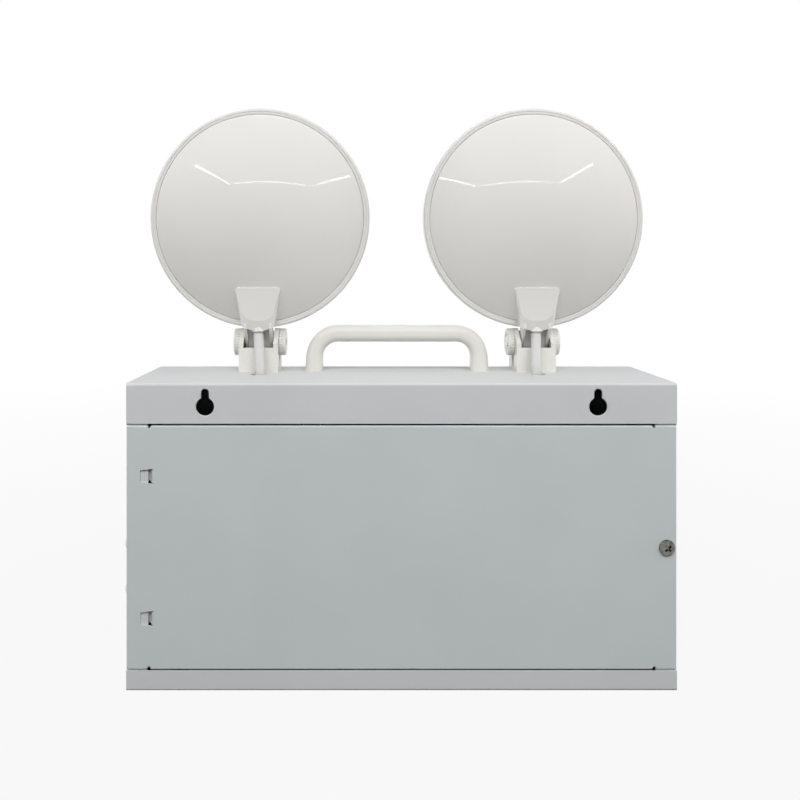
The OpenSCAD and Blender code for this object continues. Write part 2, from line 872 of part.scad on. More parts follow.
module head_shell(side) {
    color([0.92, 0.91, 0.87])
        on_side(side)
            difference() {
                union() {
                    head_turned()
                        difference() {
                            union() {
                                dome_half(dome_r, shell_r);
                                translate([0, -bezel_back])
                                    square([shell_r, bezel_back + skirt_end]);
                            }
                            dome_half(dome_r - shell_t, inner_r);
                            translate([0, -bezel_back - over])
                                square([inner_r, bezel_back + skirt_end + 2 * over]);
                        }
                    difference() {
                        translate([lamp_x, pivot_y + boss_back, pivot_z])
                            rotate([90, 0, 0])
                                linear_extrude(boss_back - boss_front)
                                    boss_outline();
                        head_turned()
                            union() {
                                dome_half(dome_r - shell_t, inner_r);
                                translate([0, -bezel_back - over])
                                    square([inner_r, bezel_back + skirt_end]);
                            }
                    }
                    for (x = [-ear_out, ear_out - ear_t])
                        translate([lamp_x, pivot_y, pivot_z])
                            along_x(x, x + ear_t)
                                ear_outline();
                    translate([lamp_x, pivot_y, pivot_z])
                        along_x(ear_t / 2 - ear_out, ear_out - ear_t / 2)
                            knuckle_outline();
                    for (end = [-1, 1])
                        translate([lamp_x + end * led_post_x, pivot_y - led_board_front + board_t, head_z])
                            rotate([-90, 0, 0])
                                cylinder(h = led_post_h, r = led_post_r);
                }
                translate([lamp_x - foot_w / 2, pivot_y, pivot_z])
                    rotate([0, 90, 0])
                        cylinder(h = foot_w, r = screw_d / 2 + fit_gap);
                for (end = [-1, 1])
                    translate([lamp_x + end * led_post_x, pivot_y - led_board_front - over, head_z])
                        rotate([-90, 0, 0])
                            cylinder(h = led_screw_l + over + fit_gap, r = led_screw_d / 2 + fit_gap);
                translate([lamp_x, pivot_y + boss_bore_back, pivot_z])
                    cylinder(h = bore_turn + boss_bore_r / 2, r = boss_bore_r);
                translate([lamp_x, pivot_y + boss_bore_back, pivot_z + bore_turn])
                    rotate([90, 0, 0])
                        cylinder(h = boss_back, r = bore_mouth_r);
            }
}

// Bezel's section: radius and distance in front of the pivot
module bezel(side) {
    color([0.93, 0.92, 0.89])
        on_side(side)
            head_turned()
                difference() {
                    translate([0, -bezel_back])
                        union() {
                            translate([lens_open_r, bezel_edge_r])
                                square([lip_w, bezel_depth - 2 * bezel_edge_r]);
                            translate([lens_open_r, 0])
                                square([lip_w - bezel_edge_r, bezel_depth]);
                            for (z = [bezel_edge_r, bezel_depth - bezel_edge_r])
                                translate([head_r - bezel_edge_r, z])
                                    circle(bezel_edge_r);
                        }
                    translate([0, -bezel_back - over])
                        square([head_r - bezel_t, bezel_depth - lip_t + over]);
                }
}

module lens(side) {
    color([0.9, 0.95, 1, 0.4])
        on_side(side)
            head_turned() {
                translate([lens_open_r - lens_t, lens_seat])
                    square([lens_edge_r - lens_open_r + lens_t, lens_t]);
                intersection() {
                    translate([0, seat_front + lens_rise - lens_r])
                        difference() {
                            circle(lens_r, $fn = 240);
                            circle(lens_r - lens_t, $fn = 240);
                        }
                    translate([0, lens_seat])
                        square([lens_open_r - fit_gap, lens_t + 2 * lens_rise]);
                }
            }
}

module reflector(side) {
    color([0.82, 0.83, 0.85])
        on_side(side)
            head_turned() {
                translate([bowl_r - reflector_t, skirt_end])
                    square([lens_edge_r - bowl_r + reflector_t, reflector_t]);
                intersection() {
                    translate([0, bowl_centre])
                        difference() {
                            circle(bowl_curve_r + reflector_t, $fn = 240);
                            circle(bowl_curve_r, $fn = 240);
                        }
                    translate([neck_in_r, led_board_front])
                        square([bowl_r - neck_in_r, lens_seat - led_board_front]);
                }
                translate([neck_in_r, led_board_front])
                    square([reflector_t, neck_h]);
            }
}

module led_board(side) {
    color([0.93, 0.93, 0.92])
        on_side(side)
            translate([lamp_x, pivot_y - led_board_front + board_t, head_z])
                difference() {
                    union() {
                        rotate([90, 0, 0])
                            cylinder(h = board_t, r = led_board_r);
                        translate([-socket_depth, 0, -led_board_r])
                            cube([2 * socket_depth, socket_depth - fit_gap, led_socket_h]);
                    }
                    for (end = [-1, 1])
                        translate([end * led_post_x, over, 0])
                            rotate([90, 0, 0])
                                cylinder(h = board_t + 2 * over, r = led_screw_d / 2 + fit_gap);
                }
}

module led_emitter(side) {
    color([0.95, 0.86, 0.35])
        on_side(side)
            translate([lamp_x, pivot_y - led_board_front, head_z])
                rotate([90, 0, 0])
                    cylinder(h = emitter_t, r = emitter_r);
}

module led_screws(side) {
    color([0.75, 0.75, 0.73])
        on_side(side)
            for (end = [-1, 1])
                translate([lamp_x + end * led_post_x, pivot_y - led_board_front, head_z])
                    rotate([90, 0, 0])
                        pan_screw(led_screw_d, led_head_d, led_head_h, led_screw_l);
}

module pivot_bolt(side) {
    color([0.75, 0.75, 0.73])
        translate([side * lamp_x + bolt_seat_x, pivot_y, pivot_z])
            rotate([0, 90, 0])
                pan_screw(screw_d, screw_head_d, screw_head_h, bolt_l - nut_h / 4);
}

// Grooved knob standing on the origin
module knob_blank() {
    difference() {
        cylinder(h = knob_t, d = knob_d);
        for (k = [0 : knob_grooves - 1])
            rotate([0, 0, k * 360 / knob_grooves])
                translate([knob_d / 2 + groove_r / 3, 0, -over])
                    cylinder(h = knob_t + 2 * over, r = groove_r);
        translate([0, 0, -over])
            cylinder(h = knob_t + 2 * over, r = screw_d / 2 + fit_gap);
    }
}

module bolt_knob(side) {
    color([0.92, 0.91, 0.87])
        translate([side * lamp_x + knob_in, pivot_y, pivot_z])
            rotate([0, 90, 0])
                difference() {
                    knob_blank();
                    translate([0, 0, knob_t - knob_seat])
                        cylinder(h = knob_t, r = screw_head_d / 2 + hole_gap);
                }
}

module nut_knob(side) {
    color([0.92, 0.91, 0.87])
        translate([side * lamp_x - knob_in, pivot_y, pivot_z])
            rotate([0, -90, 0])
                difference() {
                    knob_blank();
                    translate([0, 0, knob_t - nut_h])
                        hex(nut_af + 2 * fit_gap, knob_t);
                }
}

module pivot_nut(side) {
    color([0.75, 0.75, 0.73])
        translate([side * lamp_x - knob_in - knob_t + nut_h, pivot_y, pivot_z])
            rotate([0, -90, 0])
                nut(nut_af, nut_h, screw_d + 2 * fit_gap);
}

module head_cable(side) {
    color([0.90, 0.90, 0.90])
        on_side(side)
            tube(cable_route, cable_r, 10);
}

module battery() {
    color([0.22, 0.23, 0.25])
        translate([0, battery_front_y + battery_d / 2, sheet_t])
            union() {
                linear_extrude(battery_shoulder_h)
                    round_rect(battery_w, battery_d, battery_corner_r);
                linear_extrude(battery_h)
                    round_rect(battery_w - battery_corner_r, battery_d - battery_corner_r, battery_corner_r);
            }
}

module battery_tabs() {
    color([0.8, 0.7, 0.4])
        for (side = [-1, 1])
            translate([side * tab_pitch / 2, battery_front_y + battery_d / 2, battery_top_z])
                union() {
                    translate([-tab_w / 2, -tab_t / 2, 0])
                        cube([tab_w, tab_t, tab_h]);
                    translate([-tab_w / 2, -tab_w / 2, 0])
                        cube([tab_w, tab_w, tab_t]);
                }
}

// Bent strap: a foot on the floor, an upright behind the battery and a lip over it
module battery_bracket() {
    color([0.74, 0.75, 0.76])
        difference() {
            along_x(-bracket_w / 2, bracket_w / 2)
                polygon([
                    [battery_back_y, sheet_t],
                    [battery_back_y + bracket_foot, sheet_t],
                    [battery_back_y + bracket_foot, sheet_t + bracket_t],
                    [battery_back_y + bracket_t, sheet_t + bracket_t],
                    [battery_back_y + bracket_t, battery_top_z + bracket_t],
                    [battery_back_y - bracket_lip, battery_top_z + bracket_t],
                    [battery_back_y - bracket_lip, battery_top_z],
                    [battery_back_y, battery_top_z]
                ]);
            for (side = [-1, 1])
                translate([side * bracket_stud_x, stud_y, 0])
                    cylinder(h = bracket_foot, r = screw_d / 2 + hole_gap);
        }
}

module bracket_nuts() {
    color([0.75, 0.75, 0.73])
        for (side = [-1, 1])
            translate([side * bracket_stud_x, stud_y, sheet_t + bracket_t])
                nut(nut_af, nut_h, screw_d + 2 * fit_gap);
}

module battery_lead(route) {
    tube(route, lead_r, 8);
}

module charger_board() {
    color([0.12, 0.42, 0.25])
        translate([0, board_back_y, board_z])
            rotate([90, 0, 0])
                linear_extrude(board_t)
                    difference() {
                        round_rect(board_w, board_h, board_corner_r);
                        for (x = [-1, 1], z = [-1, 1])
                            translate([x * pillar_x, z * pillar_z])
                                circle(small_screw_d / 2 + hole_gap);
                    }
}

module board_pillars() {
    color([0.78, 0.72, 0.5])
        for (x = [-1, 1], z = [-1, 1])
            translate([x * pillar_x, board_front_y, board_z + z * pillar_z])
                rotate([90, 0, 0])
                    nut(pillar_af, pillar_h, small_screw_d + 2 * fit_gap);
}

module board_screws() {
    color([0.75, 0.75, 0.73])
        for (x = [-1, 1], z = [-1, 1])
            translate([x * pillar_x, board_back_y, board_z + z * pillar_z])
                rotate([-90, 0, 0])
                    pan_screw(small_screw_d, small_head_d, small_head_h, board_screw_l);
}

module relay() {
    color([0.15, 0.35, 0.65])
        translate([relay_x - relay_size[0] / 2, board_back_y, board_z - relay_size[2] / 2])
            cube(relay_size);
}

module capacitor() {
    color([0.15, 0.16, 0.2])
        translate([capacitor_x, board_back_y, capacitor_z])
            rotate([-90, 0, 0])
                cylinder(h = capacitor_h, r = capacitor_r);
}

module lamp_sockets() {
    color([0.93, 0.92, 0.85])
        for (side = [-1, 1])
            on_side(side)
                translate([lamp_socket_x, board_back_y, board_z + socket_rise - socket_h / 2])
                    cube([socket_w, socket_d, socket_h]);
}

module battery_sockets() {
    color([0.25, 0.55, 0.35])
        for (side = [-1, 1])
            translate([side * battery_socket_x - battery_socket_w / 2, board_back_y, battery_socket_z])
                cube([battery_socket_w, socket_d, socket_h]);
}

module transformer_core() {
    window_w = (coil_w - leg_w) / 2;
    color([0.42, 0.42, 0.44])
        translate([-transformer_x, 0, sheet_t + core_lift + core_h / 2])
            rotate([90, 0, 0])
                linear_extrude(core_d, center = true)
                    difference() {
                        square([core_w, core_h], center = true);
                        for (side = [-1, 1])
                            translate([side * (leg_w + window_w) / 2, 0])
                                square([window_w, coil_h], center = true);
                    }
}

module transformer_coil() {
    play = 2 * fit_gap;
    color([0.85, 0.72, 0.25])
        translate([-transformer_x, 0, sheet_t + core_lift + core_h / 2])
            linear_extrude(coil_h - 2 * play, center = true)
                difference() {
                    square([coil_w - 2 * play, coil_d], center = true);
                    square([leg_w + 2 * play, core_d + 2 * play], center = true);
                }
}

// Bent frame that clasps the core and has a flat foot at each side
module transformer_frame() {
    inner = core_w / 2;
    outer = inner + frame_t;
    top = sheet_t + core_lift + core_h;
    color([0.74, 0.75, 0.76])
        difference() {
            translate([-transformer_x, core_d / 4, 0])
                rotate([90, 0, 0])
                    linear_extrude(core_d / 2)
                        polygon([
                            [-frame_foot / 2, sheet_t],
                            [-inner, sheet_t],
                            [-inner, top],
                            [inner, top],
                            [inner, sheet_t],
                            [frame_foot / 2, sheet_t],
                            [frame_foot / 2, sheet_t + frame_t],
                            [outer, sheet_t + frame_t],
                            [outer, top + frame_t],
                            [-outer, top + frame_t],
                            [-outer, sheet_t + frame_t],
                            [-frame_foot / 2, sheet_t + frame_t]
                        ]);
            for (side = [-1, 1])
                translate([side * frame_pitch / 2 - transformer_x, 0, 0])
                    cylinder(h = 2 * stud_h, r = screw_d / 2 + hole_gap);
        }
}

module frame_nuts() {
    color([0.75, 0.75, 0.73])
        for (side = [-1, 1])
            translate([side * frame_pitch / 2 - transformer_x, 0, sheet_t + frame_t])
                nut(nut_af, nut_h, screw_d + 2 * fit_gap);
}

module indicator(place) {
    translate([place * indicator_pitch, board_front_y, board_z])
        rotate([90, 0, 0])
            union() {
                cylinder(h = indicator_d / 5, r = indicator_rim_r);
                cylinder(h = pillar_h + sheet_t + indicator_rise - indicator_d / 2, d = indicator_d);
                translate([0, 0, pillar_h + sheet_t + indicator_rise - indicator_d / 2])
                    sphere(d = indicator_d);
            }
}

module test_switch() {
    color([0.2, 0.2, 0.21])
        translate([button_x, board_front_y, board_z])
            rotate([90, 0, 0])
                difference() {
                    translate([-switch_w / 2, -switch_w / 2, 0])
                        cube([switch_w, switch_w, switch_t]);
                    translate([0, 0, switch_t - plunger_h])
                        cylinder(h = plunger_h + over, r = plunger_r + 2 * fit_gap);
                }
}

module test_button() {
    flange_z = pillar_h - fit_gap - flange_t;
    color([0.75, 0.12, 0.1])
        translate([button_x, board_front_y, board_z])
            rotate([90, 0, 0])
                union() {
                    translate([0, 0, flange_z])
                        cylinder(h = flange_t, r = flange_r);
                    translate([0, 0, flange_z])
                        cylinder(h = flange_t + fit_gap + sheet_t + button_rise, d = button_d);
                    translate([0, 0, flange_z - plunger_reach])
                        cylinder(h = plunger_h, r = plunger_r);
                }
}

// Screw block on the inside of the right wall: three ways between its two fixings
module terminal_block() {
    way = side_screw_pitch / 4;
    color([0.93, 0.93, 0.9])
        translate([side_x - sheet_t - block_h, side_screw_y - block_d / 2, side_screw_z - block_l / 2])
            difference() {
                cube([block_h, block_d, block_l]);
                for (end = [-1, 1])
                    translate([-over, block_d / 2, block_l / 2 + end * side_screw_pitch / 2])
                        rotate([0, 90, 0])
                            cylinder(h = block_h + 2 * over, r = small_screw_d / 2 + fit_gap);
                for (place = [-1, 0, 1])
                    translate([-over, block_d / 2, block_l / 2 + place * way])
                        rotate([0, 90, 0])
                            cylinder(h = block_h / 2, r = small_screw_d / 2);
            }
}

module side_screws() {
    color([0.8, 0.8, 0.79])
        for (end = [-1, 1])
            translate([side_x, side_screw_y, side_screw_z + end * side_screw_pitch / 2])
                rotate([0, 90, 0])
                    pan_screw(small_screw_d, small_head_d, small_head_h, side_screw_l);
}

// Cable bush in the left wall with a nut inside
module supply_gland() {
    color([0.15, 0.15, 0.15])
        translate([-side_x, gland_y, gland_z])
            rotate([0, -90, 0])
                difference() {
                    union() {
                        translate([0, 0, -gland_in])
                            cylinder(h = gland_in, d = gland_d);
                        cylinder(h = flange_out, d = gland_flange_d);
                        cylinder(h = gland_out, d = gland_neck_d);
                    }
                    translate([0, 0, -gland_in - over])
                        cylinder(h = gland_in + gland_out + 2 * over, d = gland_bore_d);
                }
}

module gland_nut() {
    color([0.15, 0.15, 0.15])
        translate([-side_x + sheet_t, gland_y, gland_z])
            rotate([0, 90, 0])
                nut(gland_nut_af, gland_nut_h, gland_d + 2 * fit_gap);
}

module fuse_holder() {
    color([0.12, 0.12, 0.13])
        translate([-side_x, gland_y, fuse_z])
            rotate([0, -90, 0])
                difference() {
                    union() {
                        translate([0, 0, -fuse_in])
                            cylinder(h = fuse_in, d = fuse_d);
                        cylinder(h = flange_out, d = fuse_flange_d);
                    }
                    translate([0, 0, flange_out - fuse_plug_h - fit_gap])
                        cylinder(h = fuse_plug_h + over, r = fuse_plug_r + fit_gap);
                }
}

// Bayonet cap with a coin slot
module fuse_cap() {
    color([0.12, 0.12, 0.13])
        translate([-side_x - flange_out - fit_gap, gland_y, fuse_z])
            rotate([0, -90, 0])
                difference() {
                    union() {
                        translate([0, 0, fit_gap - fuse_plug_h])
                            cylinder(h = fuse_plug_h, r = fuse_plug_r);
                        cylinder(h = fuse_cap_h, d = fuse_d);
                    }
                    translate([0, 0, fuse_cap_h])
                        cube([2 * fuse_d, coin_slot_w, 2 * coin_slot_d], center = true);
                }
}

case_shell();
rear_door();
door_screw();
carry_handle();
handle_screws();
lamp_foot(-1);  // lamp_foot_left
lamp_foot(1);  // lamp_foot_right
foot_screws();
head_shell(-1);  // head_shell_left
head_shell(1);  // head_shell_right
bezel(-1);  // bezel_left
bezel(1);  // bezel_right
reflector(-1);  // reflector_left
reflector(1);  // reflector_right
led_board(-1);  // led_board_left
led_board(1);  // led_board_right
led_emitter(-1);  // led_emitter_left
led_emitter(1);  // led_emitter_right
led_screws(-1);  // led_screws_left
led_screws(1);  // led_screws_right
pivot_bolt(-1);  // pivot_bolt_left
pivot_bolt(1);  // pivot_bolt_right
bolt_knob(-1);  // bolt_knob_left
bolt_knob(1);  // bolt_knob_right
nut_knob(-1);  // nut_knob_left
nut_knob(1);  // nut_knob_right
pivot_nut(-1);  // pivot_nut_left
pivot_nut(1);  // pivot_nut_right
head_cable(-1);  // head_cable_left
head_cable(1);  // head_cable_right
battery();
battery_tabs();
battery_bracket();
bracket_nuts();
color([0.8, 0.1, 0.1]) battery_lead(red_route);  // battery_lead_red
color([0.1, 0.1, 0.1]) battery_lead(black_route);  // battery_lead_black
charger_board();
board_pillars();
board_screws();
relay();
capacitor();
lamp_sockets();
battery_sockets();
transformer_core();
transformer_coil();
transformer_frame();
frame_nuts();
color([0.2, 0.75, 0.3]) indicator(-1);  // mains_indicator
color([0.85, 0.15, 0.12]) indicator(0);  // charge_indicator
color([0.95, 0.75, 0.15]) indicator(1);  // fault_indicator
test_switch();
test_button();
terminal_block();
side_screws();
supply_gland();
gland_nut();
fuse_holder();
fuse_cap();
lens(-1);  // lens_left
lens(1);  // lens_right
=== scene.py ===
import bpy
import math
from mathutils import Matrix, Vector


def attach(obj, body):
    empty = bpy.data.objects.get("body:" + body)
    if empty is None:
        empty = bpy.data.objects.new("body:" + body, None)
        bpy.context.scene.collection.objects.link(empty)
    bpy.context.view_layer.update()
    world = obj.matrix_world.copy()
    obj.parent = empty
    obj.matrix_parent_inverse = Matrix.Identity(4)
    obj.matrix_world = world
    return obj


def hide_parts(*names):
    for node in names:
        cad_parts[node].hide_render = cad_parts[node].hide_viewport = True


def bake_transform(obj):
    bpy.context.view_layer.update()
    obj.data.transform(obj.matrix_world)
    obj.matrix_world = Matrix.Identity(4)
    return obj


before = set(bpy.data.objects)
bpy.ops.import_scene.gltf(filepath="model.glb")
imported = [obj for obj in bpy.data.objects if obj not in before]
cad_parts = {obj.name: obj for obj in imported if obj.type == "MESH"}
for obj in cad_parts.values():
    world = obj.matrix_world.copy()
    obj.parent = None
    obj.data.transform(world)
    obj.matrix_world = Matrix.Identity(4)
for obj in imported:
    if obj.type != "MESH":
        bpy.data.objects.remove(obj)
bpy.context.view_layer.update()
mm = 0.001
print("frame loaded:", len(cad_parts), "pieces")

# camera
cameraPlace = {"x": 21.7, "y": 482.0, "z": 213.0, "lens": 39.15, "shiftX": 0.0514, "shiftY": -0.16}

bpy.ops.object.select_all(action="DESELECT")
bpy.ops.object.camera_add(
    location=(cameraPlace["x"] * mm, cameraPlace["y"] * mm, cameraPlace["z"] * mm),
    rotation=(math.radians(90), 0, math.radians(180)))
camera = bpy.context.object
camera.data.lens = cameraPlace["lens"]
camera.data.shift_x = cameraPlace["shiftX"]
camera.data.shift_y = cameraPlace["shiftY"]
camera.data.clip_start = 0.01
bpy.context.scene.camera = camera


# modelling helpers, sizes in millimetres
def pickNone():
    bpy.ops.object.select_all(action="DESELECT")


def pickOnly(obj):
    pickNone()
    obj.select_set(True)
    bpy.context.view_layer.objects.active = obj


def settle(obj):
    pickOnly(obj)
    bpy.ops.object.transform_apply(location=True, rotation=True, scale=True)
    return obj


def useModifier(obj, kind, **settings):
    pickOnly(obj)
    step = obj.modifiers.new(kind.title(), kind)
    for key, value in settings.items():
        setattr(step, key, value)
    bpy.ops.object.modifier_apply(modifier=step.name)
    return obj


def soften(obj, width, segments=2, angle=35):
    return useModifier(obj, "BEVEL", width=width * mm, segments=segments, limit_method="ANGLE",
                       angle_limit=math.radians(angle), use_clamp_overlap=True)


def leaveEdit():
    bpy.ops.object.mode_set(mode="OBJECT")


def editWhere(obj, kind, test):
    # opens edit mode with only the points, edges or faces that pass the test
    pickOnly(obj)
    bpy.ops.object.mode_set(mode="EDIT")
    bpy.ops.mesh.select_mode(type=kind)
    bpy.ops.mesh.select_all(action="DESELECT")
    leaveEdit()
    spots = [v.co / mm for v in obj.data.vertices]
    if kind == "VERT":
        for v in obj.data.vertices:
            v.select = test(spots[v.index])
    elif kind == "EDGE":
        for e in obj.data.edges:
            e.select = test(spots[e.vertices[0]], spots[e.vertices[1]])
    else:
        for f in obj.data.polygons:
            f.select = test(f.center / mm, f.normal)
    bpy.ops.object.mode_set(mode="EDIT")


def bevelEdges(obj, width, test, segments):
    editWhere(obj, "EDGE", test)
    bpy.ops.mesh.bevel(offset=width * mm, segments=segments, affect="EDGES", clamp_overlap=True)
    leaveEdit()
    return obj


def newPiece(name, soft):
    # names the primitive that was just added and settles it
    obj = bpy.context.object
    obj.name = name
    settle(obj)
    return soften(obj, soft) if soft else obj


def block(name, low, high, soft=0):
    pickNone()
    bpy.ops.mesh.primitive_cube_add(
        size=1,
        location=[(a + b) / 2 * mm for a, b in zip(low, high)],
        scale=[(b - a) * mm for a, b in zip(low, high)])
    return newPiece(name, soft)


def drum(name, radius, start, end, sides=48, endRadius=None, soft=0):
    a, b = Vector(start) * mm, Vector(end) * mm
    pickNone()
    bpy.ops.mesh.primitive_cone_add(
        vertices=sides, radius1=radius * mm, radius2=(radius if endRadius is None else endRadius) * mm,
        depth=(b - a).length, location=(a + b) / 2, rotation=(b - a).to_track_quat("Z", "Y").to_euler())
    return newPiece(name, soft)


def extrudeBy(move):
    bpy.ops.mesh.extrude_region_move(TRANSFORM_OT_translate={"value": Vector(move) * mm})


def pickAll():
    bpy.ops.mesh.select_all(action="SELECT")


def drawLine(name, points):
    # one point that is extruded from place to place; edit mode stays open
    pickNone()
    bpy.ops.mesh.primitive_plane_add(size=mm, location=(0, 0, 0))
    obj = bpy.context.object
    obj.name = name
    bpy.ops.object.mode_set(mode="EDIT")
    bpy.ops.mesh.select_mode(type="VERT")
    pickAll()
    bpy.ops.mesh.merge(type="CENTER")
    bpy.ops.transform.translate(value=Vector(points[0]) * mm)
    for a, b in zip(points, points[1:]):
        extrudeBy(Vector(b) - Vector(a))
    return obj


def fillLine():
    pickAll()
    bpy.ops.mesh.edge_face_add()


def closeShell():
    # merges doubles, turns the faces outwards and leaves edit mode
    pickAll()
    bpy.ops.mesh.remove_doubles(threshold=1e-6)
    bpy.ops.mesh.normals_make_consistent(inside=False)
    leaveEdit()


def plate(name, outline, depth, soft=0):
    obj = drawLine(name, outline)
    fillLine()
    extrudeBy(depth)
    closeShell()
    return soften(obj, soft) if soft else obj


def turned(name, profile, centre, axis, steps):
    # profile: radius, distance along the axis from the centre
    along = Vector(axis)
    side = Vector((0, 0, 1)) if abs(along.z) < 0.5 else Vector((1, 0, 0))
    middle = Vector(centre)
    obj = drawLine(name, [middle + side * r + along * z for r, z in profile])
    pickAll()
    bpy.ops.mesh.spin(steps=steps, angle=math.tau, center=middle * mm, axis=along)
    closeShell()
    return obj


def combine(obj, tool, how="DIFFERENCE"):
    useModifier(obj, "BOOLEAN", operation=how, object=tool, solver="EXACT")
    bpy.data.objects.remove(tool)


def weld(obj, other):
    combine(obj, other, "UNION")


def drill(obj, radius, start, end, sides=48):
    combine(obj, drum("drill", radius, start, end, sides))


def joined(name, *parts):
    pickOnly(parts[0])
    for part in parts:
        part.select_set(True)
    bpy.ops.object.join()
    parts[0].name = name
    return parts[0]


def copied(obj, name, shift=(0, 0, 0)):
    other = obj.copy()
    other.data = obj.data.copy()
    other.name = name
    bpy.context.scene.collection.objects.link(other)
    other.location = Vector(shift) * mm
    return settle(other)


def turnedCopy(obj, name, centre, axis, angle):
    other = copied(obj, name)
    pickOnly(other)
    bpy.context.scene.cursor.location = Vector(centre) * mm
    bpy.ops.object.origin_set(type="ORIGIN_CURSOR")
    other.rotation_euler = [math.radians(angle) * a for a in axis]
    return settle(other)


def stoodAt(obj, direction, place):
    # turns a piece that was made along z, and moves it to its place
    obj.rotation_euler = Vector(direction).to_track_quat("Z", "Y").to_euler()
    obj.location = Vector(place) * mm
    return settle(obj)


def dressed(obj, finish, slotName, *stands, angle):
    settle(obj)
    bpy.ops.object.shade_smooth_by_angle(angle=math.radians(angle))
    useModifier(obj, "WEIGHTED_NORMAL", keep_sharp=True, weight=80)
    obj.data.materials.clear()
    obj.data.materials.append(finish)
    if stands:
        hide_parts(*stands)


def done(obj, finish, body, slotName, *stands, angle=32):
    dressed(obj, finish, slotName, *stands, angle=angle)
    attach(obj, body)


def arc(centre, radius, start, end, steps):
    turns = [math.radians(start + (end - start) * k / steps) for k in range(steps + 1)]
    return [(centre[0] + radius * math.cos(turn), centre[1] + radius * math.sin(turn)) for turn in turns]


def leanOf(spot):
    # the angle of a point of an outline about its origin, in degrees
    return math.degrees(math.atan2(spot[1], spot[0]))


# finishes
def shaderOf(made):
    return made.node_tree.nodes["Principled BSDF"]


def setInputs(node, values):
    for key, value in values.items():
        node.inputs[key].default_value = value


def addNode(holder, kind, values=None, **settings):
    # values go to the node's inputs, settings to the node itself
    node = holder.node_tree.nodes.new(kind)
    for key, value in settings.items():
        setattr(node, key, value)
    setInputs(node, values or {})
    return node


def wire(holder, source, outlet, target, inlet):
    holder.node_tree.links.new(source.outputs[outlet], target.inputs[inlet])


def finishOf(name, colour, rough, metal=0.0, coat=0.0, coatRough=0.05, ior=1.5, see=0.0):
    made = bpy.data.materials.new(name)
    made.use_nodes = True
    setInputs(shaderOf(made), {
        "Base Color": (*colour, 1), "Roughness": rough, "Metallic": metal, "Coat Weight": coat,
        "Coat Roughness": coatRough, "IOR": ior, "Transmission Weight": see})
    return made


def grain(made, pitch, detail=2.0):
    # noise with about one lump in each pitch, in millimetres
    place = addNode(made, "ShaderNodeTexCoord")
    noise = addNode(made, "ShaderNodeTexNoise", {"Scale": 1000 / pitch, "Detail": detail})
    wire(made, place, "Object", noise, "Vector")
    return noise


# most of a noise lies between these two values
noiseSpan = (0.35, 0.65)


def blendColours(made, source, first, second, span=noiseSpan, outlet="Fac"):
    ramp = addNode(made, "ShaderNodeValToRGB")
    for stop, position, colour in zip(ramp.color_ramp.elements, span, (first, second)):
        stop.position = position
        stop.color = (*colour, 1)
    wire(made, source, outlet, ramp, "Fac")
    wire(made, ramp, "Color", shaderOf(made), "Base Color")


def roughness(made, source, low, high):
    span = addNode(made, "ShaderNodeMapRange", {
        "From Min": noiseSpan[0], "From Max": noiseSpan[1], "To Min": low, "To Max": high})
    wire(made, source, "Fac", span, "Value")
    wire(made, span, "Result", shaderOf(made), "Roughness")


def bumped(made, *layers):
    # layers: a source and its height in millimetres
    last = None
    for source, height in layers:
        bump = addNode(made, "ShaderNodeBump", {"Strength": 1.0, "Distance": height * mm})
        wire(made, source, "Fac", bump, "Height")
        if last:
            wire(made, last, "Normal", bump, "Normal")
        last = bump
    wire(made, last, "Normal", shaderOf(made), "Normal")


def powderCoat(name, colour, shade):
    # baked powder: a fine orange peel with faint clouds in the tone
    made = finishOf(name, colour, 0.66)
    setInputs(shaderOf(made), {"Specular IOR Level": 0.25})
    peel, clouds, dust = grain(made, 1.1, 3.0), grain(made, 46, 3.0), grain(made, 0.35, 1.0)
    blendColours(made, clouds, shade, colour)
    roughness(made, clouds, 0.6, 0.72)
    bumped(made, (peel, 0.012), (dust, 0.002), (clouds, 0.05))
    return made


def mouldedPlastic(name, colour, shade, rough, coat, peelHeight=0.003):
    # injection moulded: glossy skin with slight flow clouds
    made = finishOf(name, colour, rough, coat=coat, coatRough=0.012)
    clouds, skin = grain(made, 38), grain(made, 2.6)
    blendColours(made, clouds, shade, colour)
    roughness(made, clouds, rough * 0.85, rough * 1.2)
    bumped(made, (skin, peelHeight), (clouds, peelHeight * 6))
    return made


def satinPlastic(name, colour, shade, rough, pitch, height):
    # a mould etched with a fine texture
    made = finishOf(name, colour, rough)
    texture, clouds = grain(made, pitch), grain(made, 24)
    blendColours(made, clouds, shade, colour)
    roughness(made, texture, rough * 0.85, rough * 1.15)
    bumped(made, (texture, height))
    return made


def platedSteel(name, colour, shade, rough=0.22):
    # cloudy plating over fine brush lines
    made = finishOf(name, colour, rough, metal=1.0)
    clouds, lines = grain(made, 3.0, 3.0), grain(made, 0.3)
    blendColours(made, clouds, shade, colour)
    roughness(made, clouds, rough * 0.7, rough * 1.5)
    bumped(made, (lines, 0.004))
    return made


# one powder coat in two copies: the case's copy is made lighter as painted light on the band above the
# door, and the door's copy darker and greener as painted shade on the door
casePaintLit = powderCoat("case_paint", (0.68, 0.695, 0.70), (0.655, 0.67, 0.675))
doorPaintShaded = powderCoat("door_paint_shaded", (0.64, 0.683, 0.683), (0.615, 0.657, 0.657))
headPlastic = mouldedPlastic("head_plastic", (0.80, 0.785, 0.755), (0.785, 0.77, 0.74), 0.06, 0.35, 0.0008)
footPlastic = mouldedPlastic("foot_plastic", (0.80, 0.79, 0.745), (0.775, 0.765, 0.72), 0.3, 0.25)
handlePlastic = mouldedPlastic("handle_plastic", (0.78, 0.765, 0.72), (0.755, 0.74, 0.695), 0.32, 0.2)
knobPlastic = mouldedPlastic("knob_plastic", (0.79, 0.785, 0.745), (0.765, 0.755, 0.715), 0.3, 0.25)
zincPlate = platedSteel("zinc", (0.72, 0.71, 0.68), (0.60, 0.60, 0.60))
galvanisedSheet = platedSteel("galvanised", (0.62, 0.63, 0.64), (0.48, 0.49, 0.51), 0.38)
